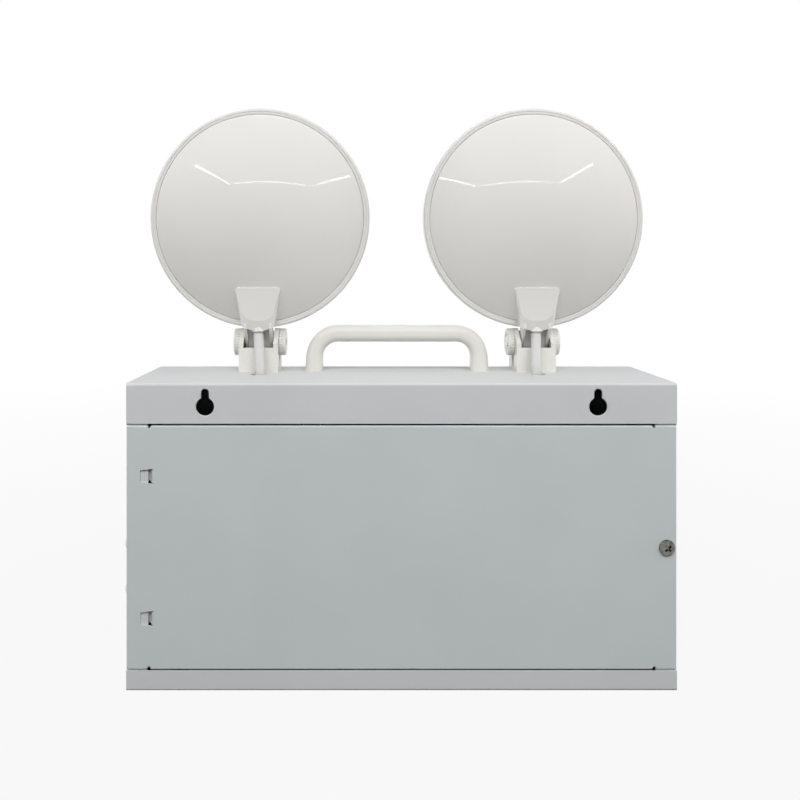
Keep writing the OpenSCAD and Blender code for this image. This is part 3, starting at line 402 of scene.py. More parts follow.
sheathWhite = satinPlastic("cable_white", (0.64, 0.64, 0.625), (0.61, 0.61, 0.595), 0.34, 0.9, 0.006)
# zinc made dark as a painted reflection of dark surroundings, which the door screw's bright plating would
# mirror
zincPaintedDarkReflection = platedSteel("zinc_painted_dark_reflection", (0.23, 0.225, 0.205), (0.12, 0.118, 0.105), 0.18)
brightSteel = platedSteel("bright_zinc", (0.80, 0.79, 0.76), (0.70, 0.70, 0.68), 0.17)


def clearResin(name, colour, rough=0.03, ior=1.585, see=1.0):
    # clear or tinted resin with a faint moulding ripple
    made = finishOf(name, colour, rough, ior=ior, see=see)
    ripple, haze = grain(made, 5.0), grain(made, 14.0)
    roughness(made, haze, rough * 0.6, rough * 2.2)
    bumped(made, (ripple, 0.002))
    return made


def vacuumSilver(name):
    # aluminium film on plastic: bright, with the bowl's slight waves
    made = finishOf(name, (0.79, 0.795, 0.80), 0.1, metal=1.0)
    haze, waves = grain(made, 9.0, 3.0), grain(made, 4.0, 1.0)
    blendColours(made, haze, (0.71, 0.715, 0.72), (0.84, 0.845, 0.85))
    roughness(made, haze, 0.05, 0.14)
    bumped(made, (waves, 0.008))
    return made


def banded(made, pitch, axis):
    # stripes across one axis, one in each pitch, in millimetres
    place = addNode(made, "ShaderNodeTexCoord")
    # a wave of scale 1 has 20 stripes in each 2 pi metres
    waves = addNode(made, "ShaderNodeTexWave", {"Scale": 1000 / pitch * math.tau / 20},
                    wave_type="BANDS", bands_direction=axis, wave_profile="SIN")
    wire(made, place, "Object", waves, "Vector")
    return waves


def stackedSteel(name):
    # the edges of the stacked sheets, with a trace of rust bloom
    made = finishOf(name, (0.30, 0.29, 0.28), 0.45, metal=0.8)
    sheets, bloom = banded(made, 0.5, "Y"), grain(made, 5.0, 4.0)
    blendColours(made, bloom, (0.36, 0.35, 0.34), (0.25, 0.19, 0.15), (0.5, 0.75))
    roughness(made, bloom, 0.38, 0.6)
    bumped(made, (sheets, 0.06), (bloom, 0.01))
    return made


def wrappedTape(name):
    # turns of tape that show as stripes, slightly creased
    made = finishOf(name, (0.82, 0.62, 0.12), 0.28, coat=0.3)
    turns, crease = banded(made, 6.0, "Z"), grain(made, 2.6, 3.0)
    blendColours(made, turns, (0.72, 0.52, 0.09), (0.85, 0.66, 0.16), (0.05, 0.3), "Color")
    roughness(made, crease, 0.22, 0.4)
    bumped(made, (turns, 0.05), (crease, 0.05))
    return made


def circuitBoard(name):
    # solder mask over copper tracks that run in steps
    made = finishOf(name, (0.03, 0.20, 0.09), 0.25, coat=0.6)
    place = addNode(made, "ShaderNodeTexCoord")
    turn = addNode(made, "ShaderNodeMapping", {"Rotation": (math.radians(90), 0, 0)})
    tracks = addNode(made, "ShaderNodeTexBrick", {
        "Scale": 100.0, "Mortar Size": 0.045, "Mortar Smooth": 0.1, "Brick Width": 0.9, "Row Height": 0.28,
        "Color1": (0.018, 0.13, 0.055, 1), "Color2": (0.022, 0.15, 0.065, 1),
        "Mortar": (0.05, 0.27, 0.12, 1)}, offset=0.5, squash=0.6)
    wire(made, place, "Object", turn, "Vector")
    wire(made, turn, "Vector", tracks, "Vector")
    wire(made, tracks, "Color", shaderOf(made), "Base Color")
    weave = grain(made, 0.6)
    roughness(made, weave, 0.2, 0.34)
    bumped(made, (tracks, 0.03), (weave, 0.01))
    return made


lensClear = clearResin("lens_clear", (0.97, 0.98, 0.98))
reflectorSilver = vacuumSilver("reflector_silver")
boardWhite = satinPlastic("board_white", (0.80, 0.80, 0.78), (0.74, 0.745, 0.73), 0.3, 1.4, 0.006)
phosphor = satinPlastic("emitter_yellow", (0.86, 0.68, 0.10), (0.80, 0.58, 0.06), 0.35, 0.3, 0.006)
batteryCase = satinPlastic("battery_case", (0.075, 0.08, 0.085), (0.06, 0.065, 0.07), 0.5, 0.7, 0.02)
tabBrass = platedSteel("tab_brass", (0.78, 0.63, 0.30), (0.66, 0.52, 0.24), 0.24)
wireRed = satinPlastic("wire_red", (0.62, 0.03, 0.025), (0.52, 0.022, 0.02), 0.35, 0.8, 0.005)
wireBlack = satinPlastic("wire_black", (0.035, 0.035, 0.037), (0.025, 0.025, 0.027), 0.35, 0.8, 0.005)
boardGreen = circuitBoard("board_green")
relayBlue = satinPlastic("relay_blue", (0.05, 0.16, 0.45), (0.04, 0.13, 0.39), 0.4, 0.5, 0.01)
capacitorSleeve = satinPlastic(
    "capacitor_sleeve", (0.03, 0.045, 0.09), (0.022, 0.033, 0.07), 0.22, 2.0, 0.01)
socketCream = satinPlastic("socket_cream", (0.74, 0.70, 0.60), (0.69, 0.65, 0.55), 0.42, 0.6, 0.008)
terminalGreen = satinPlastic("terminal_green", (0.05, 0.34, 0.14), (0.04, 0.29, 0.12), 0.4, 0.6, 0.008)
laminations = stackedSteel("laminations")
windingTape = wrappedTape("winding_tape")
lampGreen = clearResin("led_green", (0.10, 0.62, 0.20), 0.12, 1.5, 0.35)
lampRed = clearResin("led_red", (0.72, 0.06, 0.05), 0.12, 1.5, 0.35)
lampYellow = clearResin("led_yellow", (0.85, 0.60, 0.06), 0.12, 1.5, 0.35)
switchBlack = satinPlastic("switch_black", (0.05, 0.05, 0.055), (0.04, 0.04, 0.045), 0.45, 0.5, 0.01)
buttonRed = mouldedPlastic("button_red", (0.60, 0.035, 0.03), (0.54, 0.03, 0.025), 0.28, 0.3)
fittingBlack = satinPlastic("fitting_black", (0.055, 0.055, 0.06), (0.042, 0.042, 0.046), 0.42, 0.7, 0.015)
blockWhite = satinPlastic("block_white", (0.78, 0.775, 0.75), (0.73, 0.725, 0.70), 0.4, 0.8, 0.008)
print("finishes mixed")

# case
caseSizes = {
    "halfW": 140.0, "halfD": 40.0, "height": 156.5, "sheet": 1.0, "bend": 1.5, "bendIn": 0.5,
    "doorLow": 10.4, "doorHigh": 135.9, "lipFront": 38.9, "lipBack": 37.9, "lipWide": 11.0,
    "lipSeat": 0.5, "keyX": 100.0, "keyZ": 144.5, "keyR": 4.6, "slotHalf": 2.0, "slotRise": 7.0,
    "cableX": 77.3, "cableY": 1.5, "cableR": 4.15, "cableCut": (150, 160),
    "frontHoles": ((-14, 2.7), (0, 2.7), (14, 2.7), (36, 3.9)), "frontZ": 125.5,
    "sideHoles": ((30, 6.55), (62, 6.05)), "blockScrewY": 32.5, "blockScrewZ": (50, 73),
    "blockScrewR": 1.7, "screwX": -134.7, "screwZ": 73.15, "screwR": 2.5,
    "reliefX": 128.5425, "reliefR": 1.0, "keySoft": 0.5, "cornerR": 1.1, "soft": 0.22,
    "studs": ((-14.96, 17.5), (14.96, 17.5), (-122.25, 0), (-68.25, 0)), "studR": 2.0,
    "studLow": 0.8, "studHigh": 5.4}


def foldedBox(name, inset, bend):
    c = caseSizes
    w, d, h = c["halfW"] - inset, c["halfD"] - inset, c["height"] - inset
    box = block(name, (-w, -d, inset), (w, d, h))

    def folded(a, b):
        across = abs(a.x - b.x) > w and abs(a.z - b.z) < 0.1 and abs(a.y) > 1
        upright = abs(a.z - b.z) > h / 2 and a.y < 0 and b.y < 0
        return across or upright

    return bevelEdges(box, bend, folded, 4)


def rearCutter(name, outline, deep):
    # starts 1 mm behind the rear face
    return plate(name, [(x, caseSizes["halfD"] + 1, z) for x, z in outline], (0, -deep, 0))


def keyholeTool(x):
    c = caseSizes
    low, high = c["keyZ"], c["keyZ"] + c["slotRise"]
    join = math.degrees(math.asin(c["slotHalf"] / c["keyR"]))
    outline = (arc((x, low), c["keyR"], 90 + join, 450 - join, 40)
               + arc((x, high), c["slotHalf"], 0, 180, 14))
    return rearCutter("keyhole", outline, 4)


def makeCase():
    c = caseSizes
    w, d, low, high = c["halfW"], c["halfD"], c["doorLow"], c["doorHigh"]
    # how far the cutters start outside a sheet and end behind its face
    over, deep = 2, 3
    shell = foldedBox("caseShell", 0, c["bend"])
    combine(shell, foldedBox("inside", c["sheet"], c["bendIn"]))
    combine(shell, block("doorRecess", (-w - 1, c["lipFront"], low), (w + 1, d + over, high)))
    lip, seat = w - c["lipWide"], c["lipSeat"]
    combine(shell, block("doorway", (-lip, d - deep - 1, low), (lip, d + over, high)))
    for side in (-1, 1):
        near, far = sorted((side * lip, side * (w - seat)))
        strip = block("lip", (near, c["lipBack"], low - seat), (far, c["lipFront"], high + seat))
        weld(shell, strip)
    for side in (-1, 1):
        combine(shell, keyholeTool(side * c["keyX"]))
        start, end = [(side * c["cableX"], c["cableY"], z) for z in c["cableCut"]]
        drill(shell, c["cableR"], start, end)
    for x, r in c["frontHoles"]:
        drill(shell, r, (x, -d - over, c["frontZ"]), (x, -d + deep, c["frontZ"]))
    for z, r in c["sideHoles"]:
        drill(shell, r, (-w - over, 0, z), (-w + deep, 0, z))
    for z in c["blockScrewZ"]:
        start, end = [(x, c["blockScrewY"], z) for x in (w - deep, w + over)]
        drill(shell, c["blockScrewR"], start, end, 24)
    start, end = [(c["screwX"], y, c["screwZ"]) for y in (d - deep - 1, d)]
    drill(shell, c["screwR"], start, end, 24)
    for x in (-c["reliefX"], c["reliefX"]):
        for z in (low + 0.2, high - 0.2):
            drill(shell, c["reliefR"], (x, d - deep, z), (x, d - 0.5, z), 16)

    def atKeyhole(p):
        return p.y > d - 0.1 and abs(abs(p.x) - c["keyX"]) < 6 and 138 < p.z < 155.5

    def atCorner(p):
        # the ends of the strips above and below the door
        return p.y > d - 0.05 and abs(p.x) > w - 0.05 and (p.z > high - 0.1 or p.z < low + 0.1)

    def oneCorner(a, b):
        middle = c["height"] / 2
        return atCorner(a) and atCorner(b) and a.x * b.x > 0 and (a.z - middle) * (b.z - middle) > 0

    bevelEdges(shell, c["keySoft"], lambda a, b: atKeyhole(a) and atKeyhole(b), 2)
    bevelEdges(shell, c["cornerR"], oneCorner, 4)
    soften(shell, c["soft"], 2, 50)
    # the case gets the lighter copy of the paint, which holds painted light
    done(shell, casePaintLit, "case", "case_paint", "case_shell")
    studs = [drum("stud", c["studR"], (x, y, c["studLow"]), (x, y, c["studHigh"]), 24, soft=0.3)
             for x, y in c["studs"]]
    done(joined("weldStuds", *studs), zincPlate, "case", "zinc")


makeCase()
print("case folded")

# rear door
doorSizes = {
    "halfW": 139.8, "low": 11.4, "high": 134.9, "thick": 1.0, "screwR": 2.05,
    "hooks": (109.1, 36.8), "windowNear": 7.1, "windowWide": 6.9, "windowH": 6.1, "rootH": 7.9,
    "hookRoot": 7.5, "hookMiddle": (128, 38),
    "hookTaper": ((126.5, 0.95), (127.5, 0.9), (128.2, 0.87)),
    "notchX": 128.5, "notchHalf": 1.3, "notchFoot": 0.5, "notchRise": 1.2,
    "rimR": 0.9, "soft": 0.35}
# the tongue leaves the window's inner end, steps in and lies behind the lip
hookLine = [
    (125.2, 40), (126.1, 39.92), (126.8, 39.5), (127.3, 38.7), (127.9, 37.6), (128.5, 37.2),
    (129.7, 37.1), (129.7, 36.1), (127.9, 36.2), (126.9, 37.0), (126.1, 38.5), (125.6, 38.9),
    (125.2, 39)]


def makeHook(z):
    d = doorSizes
    low, middle = z - d["hookRoot"] / 2, Vector((*d["hookMiddle"], z)) * mm
    hook = plate("hook", [(x, y, low) for x, y in hookLine], (0, 0, d["hookRoot"]), 0.15)
    for start, share in d["hookTaper"]:
        editWhere(hook, "VERT", lambda p: p.x > start)
        bpy.ops.transform.resize(value=(1, 1, share), center_override=middle)
        leaveEdit()
    return hook


def makeDoor():
    c, d = caseSizes, doorSizes
    face = c["halfD"]
    door = block("rearDoor", (-d["halfW"], face - d["thick"], d["low"]), (d["halfW"], face, d["high"]))
    near = c["halfW"] - d["windowNear"]
    far = near - d["windowWide"]
    for z in d["hooks"]:
        outline = [(near, z - d["windowH"] / 2), (near, z + d["windowH"] / 2),
                   (far, z + d["rootH"] / 2), (far, z - d["rootH"] / 2)]
        combine(door, rearCutter("window", outline, 3))
    start, end = [(c["screwX"], y, c["screwZ"]) for y in (face - 2, face + 2)]
    drill(door, d["screwR"], start, end, 24)
    for x in (-d["notchX"], d["notchX"]):
        for z, way in ((d["low"], 1), (d["high"], -1)):
            mouth, root = z - 0.2 * way, z + d["notchRise"] * way
            outline = [(x - d["notchHalf"], mouth), (x + d["notchHalf"], mouth),
                       (x + d["notchFoot"], root), (x - d["notchFoot"], root)]
            combine(door, rearCutter("notch", outline, 3))

    def onRim(a, b):
        # the outer edges at the top and on both sides
        atTop = min(a.z, b.z) > d["high"] - 0.05
        atSide = a.x * b.x > 0 and min(abs(a.x), abs(b.x)) > d["halfW"] - 0.05
        return min(a.y, b.y) > face - 0.05 and (atTop or atSide)

    bevelEdges(door, d["rimR"], onRim, 4)
    soften(door, d["soft"], 3, 50)
    door = joined("rearDoor", door, *[makeHook(z) for z in d["hooks"]])
    # the door gets the darker copy of the case's paint, which holds painted shade
    done(door, doorPaintShaded, "door", "case_paint", "rear_door")


makeDoor()
print("door cut")

# pan head screws
panHead = {
    "radius": 2.0, "headR": 4.0, "headH": 2.6, "crownR": 6.0, "thread": 0.7, "rootShare": 0.86,
    "barShare": 0.26}


def bulge(ballR, crest, radius):
    # the height of a ball's surface at a radius, for the height of its crest
    return crest - ballR + math.sqrt(ballR ** 2 - radius ** 2)


def panScrew(name, length, place, direction, twist, recess=0.58):
    radius, headR, headH, crownR = [panHead[key] for key in ("radius", "headR", "headH", "crownR")]
    crown = [(r, bulge(crownR, headH, r)) for r in [headR * k / 8 for k in range(8)]]
    rim = crown[-1][1] - 0.1 * headH
    shank, z = [], -0.6
    while z > -length + 0.6:
        shank += [(radius, z), (radius * panHead["rootShare"], z - panHead["thread"] / 2)]
        z -= panHead["thread"]
    profile = (crown + [(headR * 0.97, rim), (headR, rim - 0.12 * headH), (headR, 0.12 * headH),
                        (headR * 0.96, 0), (radius * 0.95, 0)]
               + shank + [(radius * 0.8, -length), (0, -length)])
    screw = turned(name, profile, (0, 0, 0), (0, 0, 1), 40)
    # a cross recess that narrows downwards
    arm, half = recess * headR, panHead["barShare"] * recess * headR
    for turn in (0, 90):
        bar = block("crossBar", (-arm, -half, headH * 0.35), (arm, half, headH * 1.4))
        editWhere(bar, "FACE", lambda spot, normal: normal.z < -0.5)
        bpy.ops.transform.resize(value=(0.45, 0.45, 1))
        leaveEdit()
        bar.rotation_euler.z = math.radians(turn)
        combine(screw, settle(bar))
    soften(screw, 0.08 * headH, 2, 40)
    screw.rotation_euler.z = math.radians(twist)
    return stoodAt(settle(screw), direction, place)


doorScrewSeat = (caseSizes["screwX"], caseSizes["halfD"], caseSizes["screwZ"])
# the door screw gets the darkened zinc, a painted dark reflection
done(panScrew("doorScrew", 5.5, doorScrewSeat, (0, 1, 0), 42, recess=0.7), zincPaintedDarkReflection,
     "door_fastener", "zinc", "door_screw")
print("door screw set")

# lamp heads, made on the right and copied to the left
lamp = {
    "x": 78.5, "pivotY": -21.85, "pivotZ": 172.6, "headZ": 244.0, "pitch": 157.0, "domeR": 105.0,
    "apex": 23.49, "shellR": 59.5, "innerR": 57.5, "steps": 144, "postX": 13.0}
hub = (lamp["x"], lamp["pivotY"], lamp["headZ"])
pivot = Vector((lamp["x"], lamp["pivotY"], lamp["pivotZ"]))
forward = (0, -1, 0)


def cap(ballR, top, edge, steps):
    # a dome's section from its pole out to a radius: radius, distance in front of the hub
    last = math.asin(edge / ballR)
    return [(ballR * math.sin(last * k / steps), top + ballR - ballR * math.cos(last * k / steps))
            for k in range(steps + 1)]


def touch(spot, radius, side):
    # where a line from the spot touches a circle round the pivot
    turn = math.atan2(spot[1], spot[0]) + side * math.acos(radius / math.hypot(*spot))
    return radius * math.cos(turn), radius * math.sin(turn)


def byPivot(x, outline):
    # an outline of depth and height about the pivot, at a distance across from the lamp's middle
    return [(pivot.x + x, pivot.y + y, pivot.z + z) for y, z in outline]


headShell = {
    "bossBack": 15.9, "bossFront": 5.7, "bossLow": 7.1, "bossSag": 2.8, "bossHalf": 9.25,
    "bossTopHalf": 12.6, "bossTop": 31.3, "bossDraw": 1.3, "bossSoft": 0.75, "lean": 1.5,
    "panelHalf": 9.6, "panelMid": 19.6, "panelDeep": 6.8,
    "earIn": 6.1, "earOut": 7.9, "earR": 6.5, "earTop": 11.4, "neckLow": 7.4,
    "boreR": 3.31, "boreY": 11.44, "boreLong": 22.95, "boreTurnR": 4.36, "boreTurnZ": 21.3,
    "pivotR": 2.05, "postR": 2.7, "postBoreR": 1.25}


def makeHeadShell():
    h = headShell
    outer = cap(lamp["domeR"], -lamp["apex"], lamp["shellR"] - 0.35, 44)
    inner = cap(lamp["domeR"] - 2, 2 - lamp["apex"], lamp["innerR"], 30)
    profile = (outer + [(59.4, -4.98), (59.5, -4.7), (59.5, 1.0), (59.3, 1.2), (57.7, 1.2), (57.5, 1.0)]
               + inner[::-1])
    shell = turned("headShellRight", profile, hub, forward, lamp["steps"])
    bottomR = (h["bossHalf"] ** 2 + h["bossSag"] ** 2) / (2 * h["bossSag"])
    lean = math.degrees(math.asin(h["bossHalf"] / bottomR))
    low = arc((0, h["bossLow"] + bottomR), bottomR, 270 - lean, 270 + lean, 16)
    half, top = h["bossTopHalf"], h["bossTop"]
    outline = low + [
        (half, top - 0.9), (half - 1.0, top + 0.4), (1.0 - half, top + 0.4), (-half, top - 0.9)]
    boss = drawLine("boss", [(pivot.x + x, pivot.y + h["bossFront"], pivot.z + z) for x, z in outline])
    fillLine()
    rim = h["bossBack"] - h["bossFront"] - h["bossDraw"]
    extrudeBy((0, rim, 0))
    extrudeBy((0, h["bossDraw"], 0))
    closeShell()
    # the raised panel ends in a round, inside the rim
    panel = [(x, h["panelMid"] + z) for x, z in
             [(h["panelHalf"] * math.cos(turn), h["panelDeep"] * math.sin(turn))
              for turn in [math.pi * (1 + k / 16) for k in range(17)]]]
    panel += [(x * 0.965, z - 0.2) for x, z in outline[len(low):]]
    faceY, rimY = pivot.y + h["bossBack"] - 0.01, pivot.y + h["bossFront"] + rim
    for v in boss.data.vertices:
        if v.co.y / mm < rimY - 0.1:
            continue
        if v.co.y / mm > faceY:
            nearest = min(range(len(outline)), key=lambda k: math.hypot(
                outline[k][0] + pivot.x - v.co.x / mm, outline[k][1] + pivot.z - v.co.z / mm))
            v.co.x, v.co.z = (pivot.x + panel[nearest][0]) * mm, (pivot.z + panel[nearest][1]) * mm
        # the top stands further back than the foot of it
        rise = (v.co.z / mm - pivot.z - h["bossLow"]) / (h["bossTop"] - h["bossLow"])
        v.co.y += (h["lean"] * rise - 0.5) * mm

    def onFace(a, b):
        # the edges of the rim and the panel, without those that run inwards
        return min(a.y, b.y) > rimY - 0.7 and abs(a.y - b.y) < 0.7 * abs(a.z - b.z) + 0.35

    bevelEdges(boss, h["bossSoft"], onFace, 3)
    lip = drum("lip", 4.15, (pivot.x, pivot.y + h["boreY"], pivot.z + h["bossLow"] - 0.1),
               (pivot.x, pivot.y + h["boreY"], pivot.z + h["bossLow"] + 3.4), 40, endRadius=3.0)
    weld(boss, lip)
    hollow = turned("hollow", cap(lamp["domeR"] - 1.5, 1.5 - lamp["apex"], 57.9, 24) + [(57.9, 3), (0, 3)],
                    hub, forward, 96)
    combine(boss, hollow)
    for side in (-1, 1):
        x = h["earIn"] if side > 0 else -h["earOut"]
        rear, front = (h["bossBack"] - 0.6, h["bossLow"] + 1.4), (h["bossFront"], h["neckLow"])
        first, last = leanOf(touch(rear, h["earR"], -1)), leanOf(touch(front, h["earR"], 1))
        outline = [rear, (rear[0], h["earTop"]), (h["bossFront"], h["earTop"]), front]
        outline += arc((0, 0), h["earR"], last, first + 360, 30)
        ear = plate("ear", byPivot(x, outline), (h["earOut"] - h["earIn"], 0, 0), 0.35)
        weld(boss, ear)
    # the knuckle between the ears reaches up into the boss
    web, top = h["bossFront"] + 2, 10.6
    neck = (h["bossFront"], h["neckLow"])
    outline = [(h["earR"], 0), (web, top - 0.7), (web, top), (h["bossFront"], top), neck]
    first = leanOf(touch(neck, h["earR"], 1))
    outline += arc((0, 0), h["earR"], first, 360, 30)[:-1]
    weld(boss, plate("knuckle", byPivot(1 - h["earOut"], outline), (2 * h["earOut"] - 2, 0, 0)))
    weld(shell, boss)
    y, z = pivot.y + h["bossBack"] - 1.15 - h["boreR"], pivot.z
    drill(shell, h["boreR"], (pivot.x, y, z), (pivot.x, y, z + h["boreLong"]), 40)
    turnZ = z + h["boreTurnZ"]
    drill(shell, h["boreTurnR"], (pivot.x, y, turnZ), (pivot.x, y - 12, turnZ), 40)
    start, end = [(pivot.x + x, pivot.y, pivot.z) for x in (-12, 12)]
    drill(shell, h["pivotR"], start, end, 32)
    for x in (hub[0] - lamp["postX"], hub[0] + lamp["postX"]):
        post = drum("post", h["postR"], (x, -5.9, hub[2]), (x, -0.3, hub[2]), 24)
        drill(post, h["postBoreR"], (x, -7, hub[2]), (x, -3.2, hub[2]), 16)
        weld(shell, post)
    shell.name = "headShellRight"
    return shell


def makeBezel():
    inside = [(59.7, -4.98), (59.6, -4.85), (59.6, 4.2), (55.8, 4.2), (55.5, 4.5), (55.5, 5.5)]
    face = [(56.0, 5.95), (56.4, 6.0), (57.9, 6.0), (58.1, 5.7), (58.6, 5.7), (58.8, 6.0)]
    groove = [(62.94, 0.6), (62.75, 0.4), (62.94, 0.2)]
    back = [(61.3, -4.98), (61.15, -4.75), (60.85, -4.75), (60.7, -4.98), (60.2, -5), (59.7, -4.98)]
    profile = (inside + face + arc((61.5, 4.5), 1.5, 90, 0, 6) + groove
               + arc((61.5, -3.5), 1.5, 0, -90, 6) + back)
    return turned("bezelRight", profile, hub, forward, lamp["steps"])


lens = {
    "ballR": 310.5, "crest": 9.2, "thick": 2.0, "faceR": 55.45, "rings": 24, "firstRing": 3.2,
    "ringPitch": 2.1, "ringWide": 1.9}
bowl = {
    "ballR": 93.46, "ballY": 81.16, "thick": 1.0, "mouthR": 50.0, "rootR": 8.5, "rootY": -14.3,
    "backR": 50.29}


def makeLens():
    s = lens
    radii = [s["faceR"] * k / 14 for k in range(14, -1, -1)]
    outer = [(r, bulge(s["ballR"], s["crest"], r)) for r in radii]
    inner = []
    for k in range(s["rings"]):
        # prism rings on the inside
        r = s["firstRing"] + s["ringPitch"] * k
        z = bulge(s["ballR"], s["crest"] - s["thick"], r)
        inner += [(r, z - 0.05), (r + s["ringWide"], z - 0.55)]
    profile = ([(54.0, 2.2), (59.3, 2.2), (59.4, 2.3), (59.4, 4.1), (59.3, 4.2), (55.6, 4.2)]
               + outer + [(0, s["crest"] - s["thick"])] + inner + [(54.0, 2.2)])
    return turned("lensRight", profile, hub, forward, 112)


def makeReflector():
    b = bowl
    rootOut = b["rootR"] + b["thick"]
    radii = [b["mouthR"] + (b["rootR"] - b["mouthR"]) * k / 9 for k in range(10)]
    backRadii = [rootOut + (b["backR"] - rootOut) * k / 9 for k in range(10)]
    inner = [(r, b["ballY"] - math.sqrt(b["ballR"] ** 2 - r * r)) for r in radii]
    back = [(r, b["ballY"] - math.sqrt((b["ballR"] + b["thick"]) ** 2 - r * r)) for r in backRadii]
    profile = ([(59.4, 1.2), (59.4, 2.2)] + inner + [(b["rootR"], b["rootY"]), (rootOut, b["rootY"])]
               + back + [(59.4, 1.2)])
    return turned("reflectorRight", profile, hub, forward, 40)


def makeEmitter():
    place = (hub[0], -7.55, hub[2])
    base = turned("emitterBaseRight", [(0, 0), (6.3, 0), (6.3, 0.6), (6.1, 0.8), (5.6, 0.8), (5.4, 1.05),
                                       (4.9, 1.05), (4.7, 0.85), (0, 0.85)], place, forward, 40)
    glow = turned("emitterGlowRight", [(0, 0.8), (4.75, 0.8), (4.6, 1.1), (3.2, 1.3), (0, 1.38)],
                  place, forward, 40)
    return base, glow


def makeLedBoard():
    x, z = hub[0], hub[2]
    outline = [(0, 14.3), (17.7, 14.3), (18.0, 14.5), (18.0, 15.7), (17.7, 15.9), (0, 15.9)]
    board = turned("ledBoardRight", outline, hub, (0, 1, 0), 64)
    for side in (-lamp["postX"], lamp["postX"]):
        drill(board, headShell["postBoreR"], (x + side, -8, z), (x + side, -5, z), 20)
    socket = block("ledSocketRight", (x - 3, -6.0, z - 18), (x + 3, -3.0, z - 10.8), 0.3)
    combine(socket, block("mouth", (x - 2.2, -5.4, z - 20), (x + 2.2, -3.6, z - 15)))
    return board, socket


def bothLamps(obj, finish, bodyOf, slotName, standsFor=None, angle=32):
    # finishes the right-hand piece and its copy on the left
    other = copied(obj, obj.name.replace("Right", "Left"), (-lamp["pitch"], 0, 0))
    for piece, side in ((obj, "right"), (other, "left")):
        stands = [f"{standsFor}_{side}"] if standsFor else []
        done(piece, finish, bodyOf.format(side=side), slotName, *stands, angle=angle)


bothLamps(makeHeadShell(), headPlastic, "{side}_head", "head_plastic", "head_shell", angle=24)
bothLamps(makeBezel(), headPlastic, "{side}_head", "head_plastic", "bezel")
bothLamps(makeLens(), lensClear, "{side}_head", "lens_clear", "lens", angle=20)
bothLamps(makeReflector(), reflectorSilver, "{side}_head", "reflector_silver", "reflector", angle=1)
emitterBase, emitterGlow = makeEmitter()
bothLamps(emitterBase, boardWhite, "{side}_head", "board_white")
bothLamps(emitterGlow, phosphor, "{side}_head", "emitter_yellow", "led_emitter")
ledBoard, ledSocket = makeLedBoard()
bothLamps(ledBoard, boardWhite, "{side}_head", "board_white", "led_board")
bothLamps(ledSocket, socketCream, "{side}_head", "socket_cream")
print("heads made")

# lamp feet
foot = {
    "half": 11.0, "cheek": 2.6, "depth": 12.85, "low": 16.1, "floor": 2.0, "side": 2.0, "wall": 13.2,
    "wallTop": 2.4, "roundR": 7.9, "screwY": 6.5, "bossR": 3.5, "bossTop": 10.1, "screwR": 1.55,
    "slotX": 11.1, "slotHalf": 0.9, "slotDeep": 3.6, "padR": 5.6, "soft": 0.4}


def makeFoot():
    f = foot
    x, y, z = pivot
    lean = leanOf(touch((f["depth"], 0), f["roundR"], 1))
    outline = ([(-f["depth"], -f["low"]), (f["depth"], -f["low"]), (f["depth"], 0)]
               + arc((0, 0), f["roundR"], lean, 180, 18)
               + [(-f["roundR"], f["wall"] - f["low"]), (-f["depth"], f["wall"] - f["low"])])
    body = plate("footRight", byPivot(-f["half"], outline), (f["cheek"], 0, 0))
    weld(body, plate("cheek", byPivot(f["half"] - f["cheek"], outline), (f["cheek"], 0, 0)))
    left, right, base = x - f["half"] + 0.1, x + f["half"] - 0.1, z - f["low"]
    weld(body, block("floor", (left, y - 12.8, base), (right, y + 12.8, base + f["floor"])))
    for start in (y - f["depth"], y + f["depth"] - f["side"]):
        wall = block("wall", (left, start, base), (right, start + f["side"], z - f["wallTop"]))
        weld(body, wall)
    for end in (y - f["screwY"], y + f["screwY"]):
        post = drum("screwBoss", f["bossR"], (x, end, z - 15), (x, end, z - f["bossTop"]), 32)
        weld(body, post)
    for side in (-1, 1):
        middle = x + side * f["slotX"]
        slot = block("slot", (middle - f["slotHalf"], y - f["slotDeep"], z - 14.9),
                     (middle + f["slotHalf"], y + f["slotDeep"], z + 2), 0.3)
        combine(body, slot)
        # washer pads that the knobs clamp on
        pad = drum("pad", f["padR"], (x + side * 9, y, z), (x + side * f["half"], y, z), 40)
        weld(body, pad)
    drill(body, headShell["pivotR"], (x - 12, y, z), (x + 12, y, z), 32)
    for end in (y - f["screwY"], y + f["screwY"]):
        drill(body, f["screwR"], (x, end, z - 17), (x, end, z - f["bossTop"] - 0.5), 20)
    soften(body, f["soft"], 3, 40)
    return body


bothLamps(makeFoot(), footPlastic, "case", "foot_plastic", "lamp_foot")

# clamping knobs, bolts and nuts
knob = {"r": 7.75, "start": 11.05, "ribs": 30, "ribLong": 2.2, "ribHalf": 0.32, "ribHigh": 0.9}
nut = {"flats": 7.0, "high": 2.2, "well": 7.1}


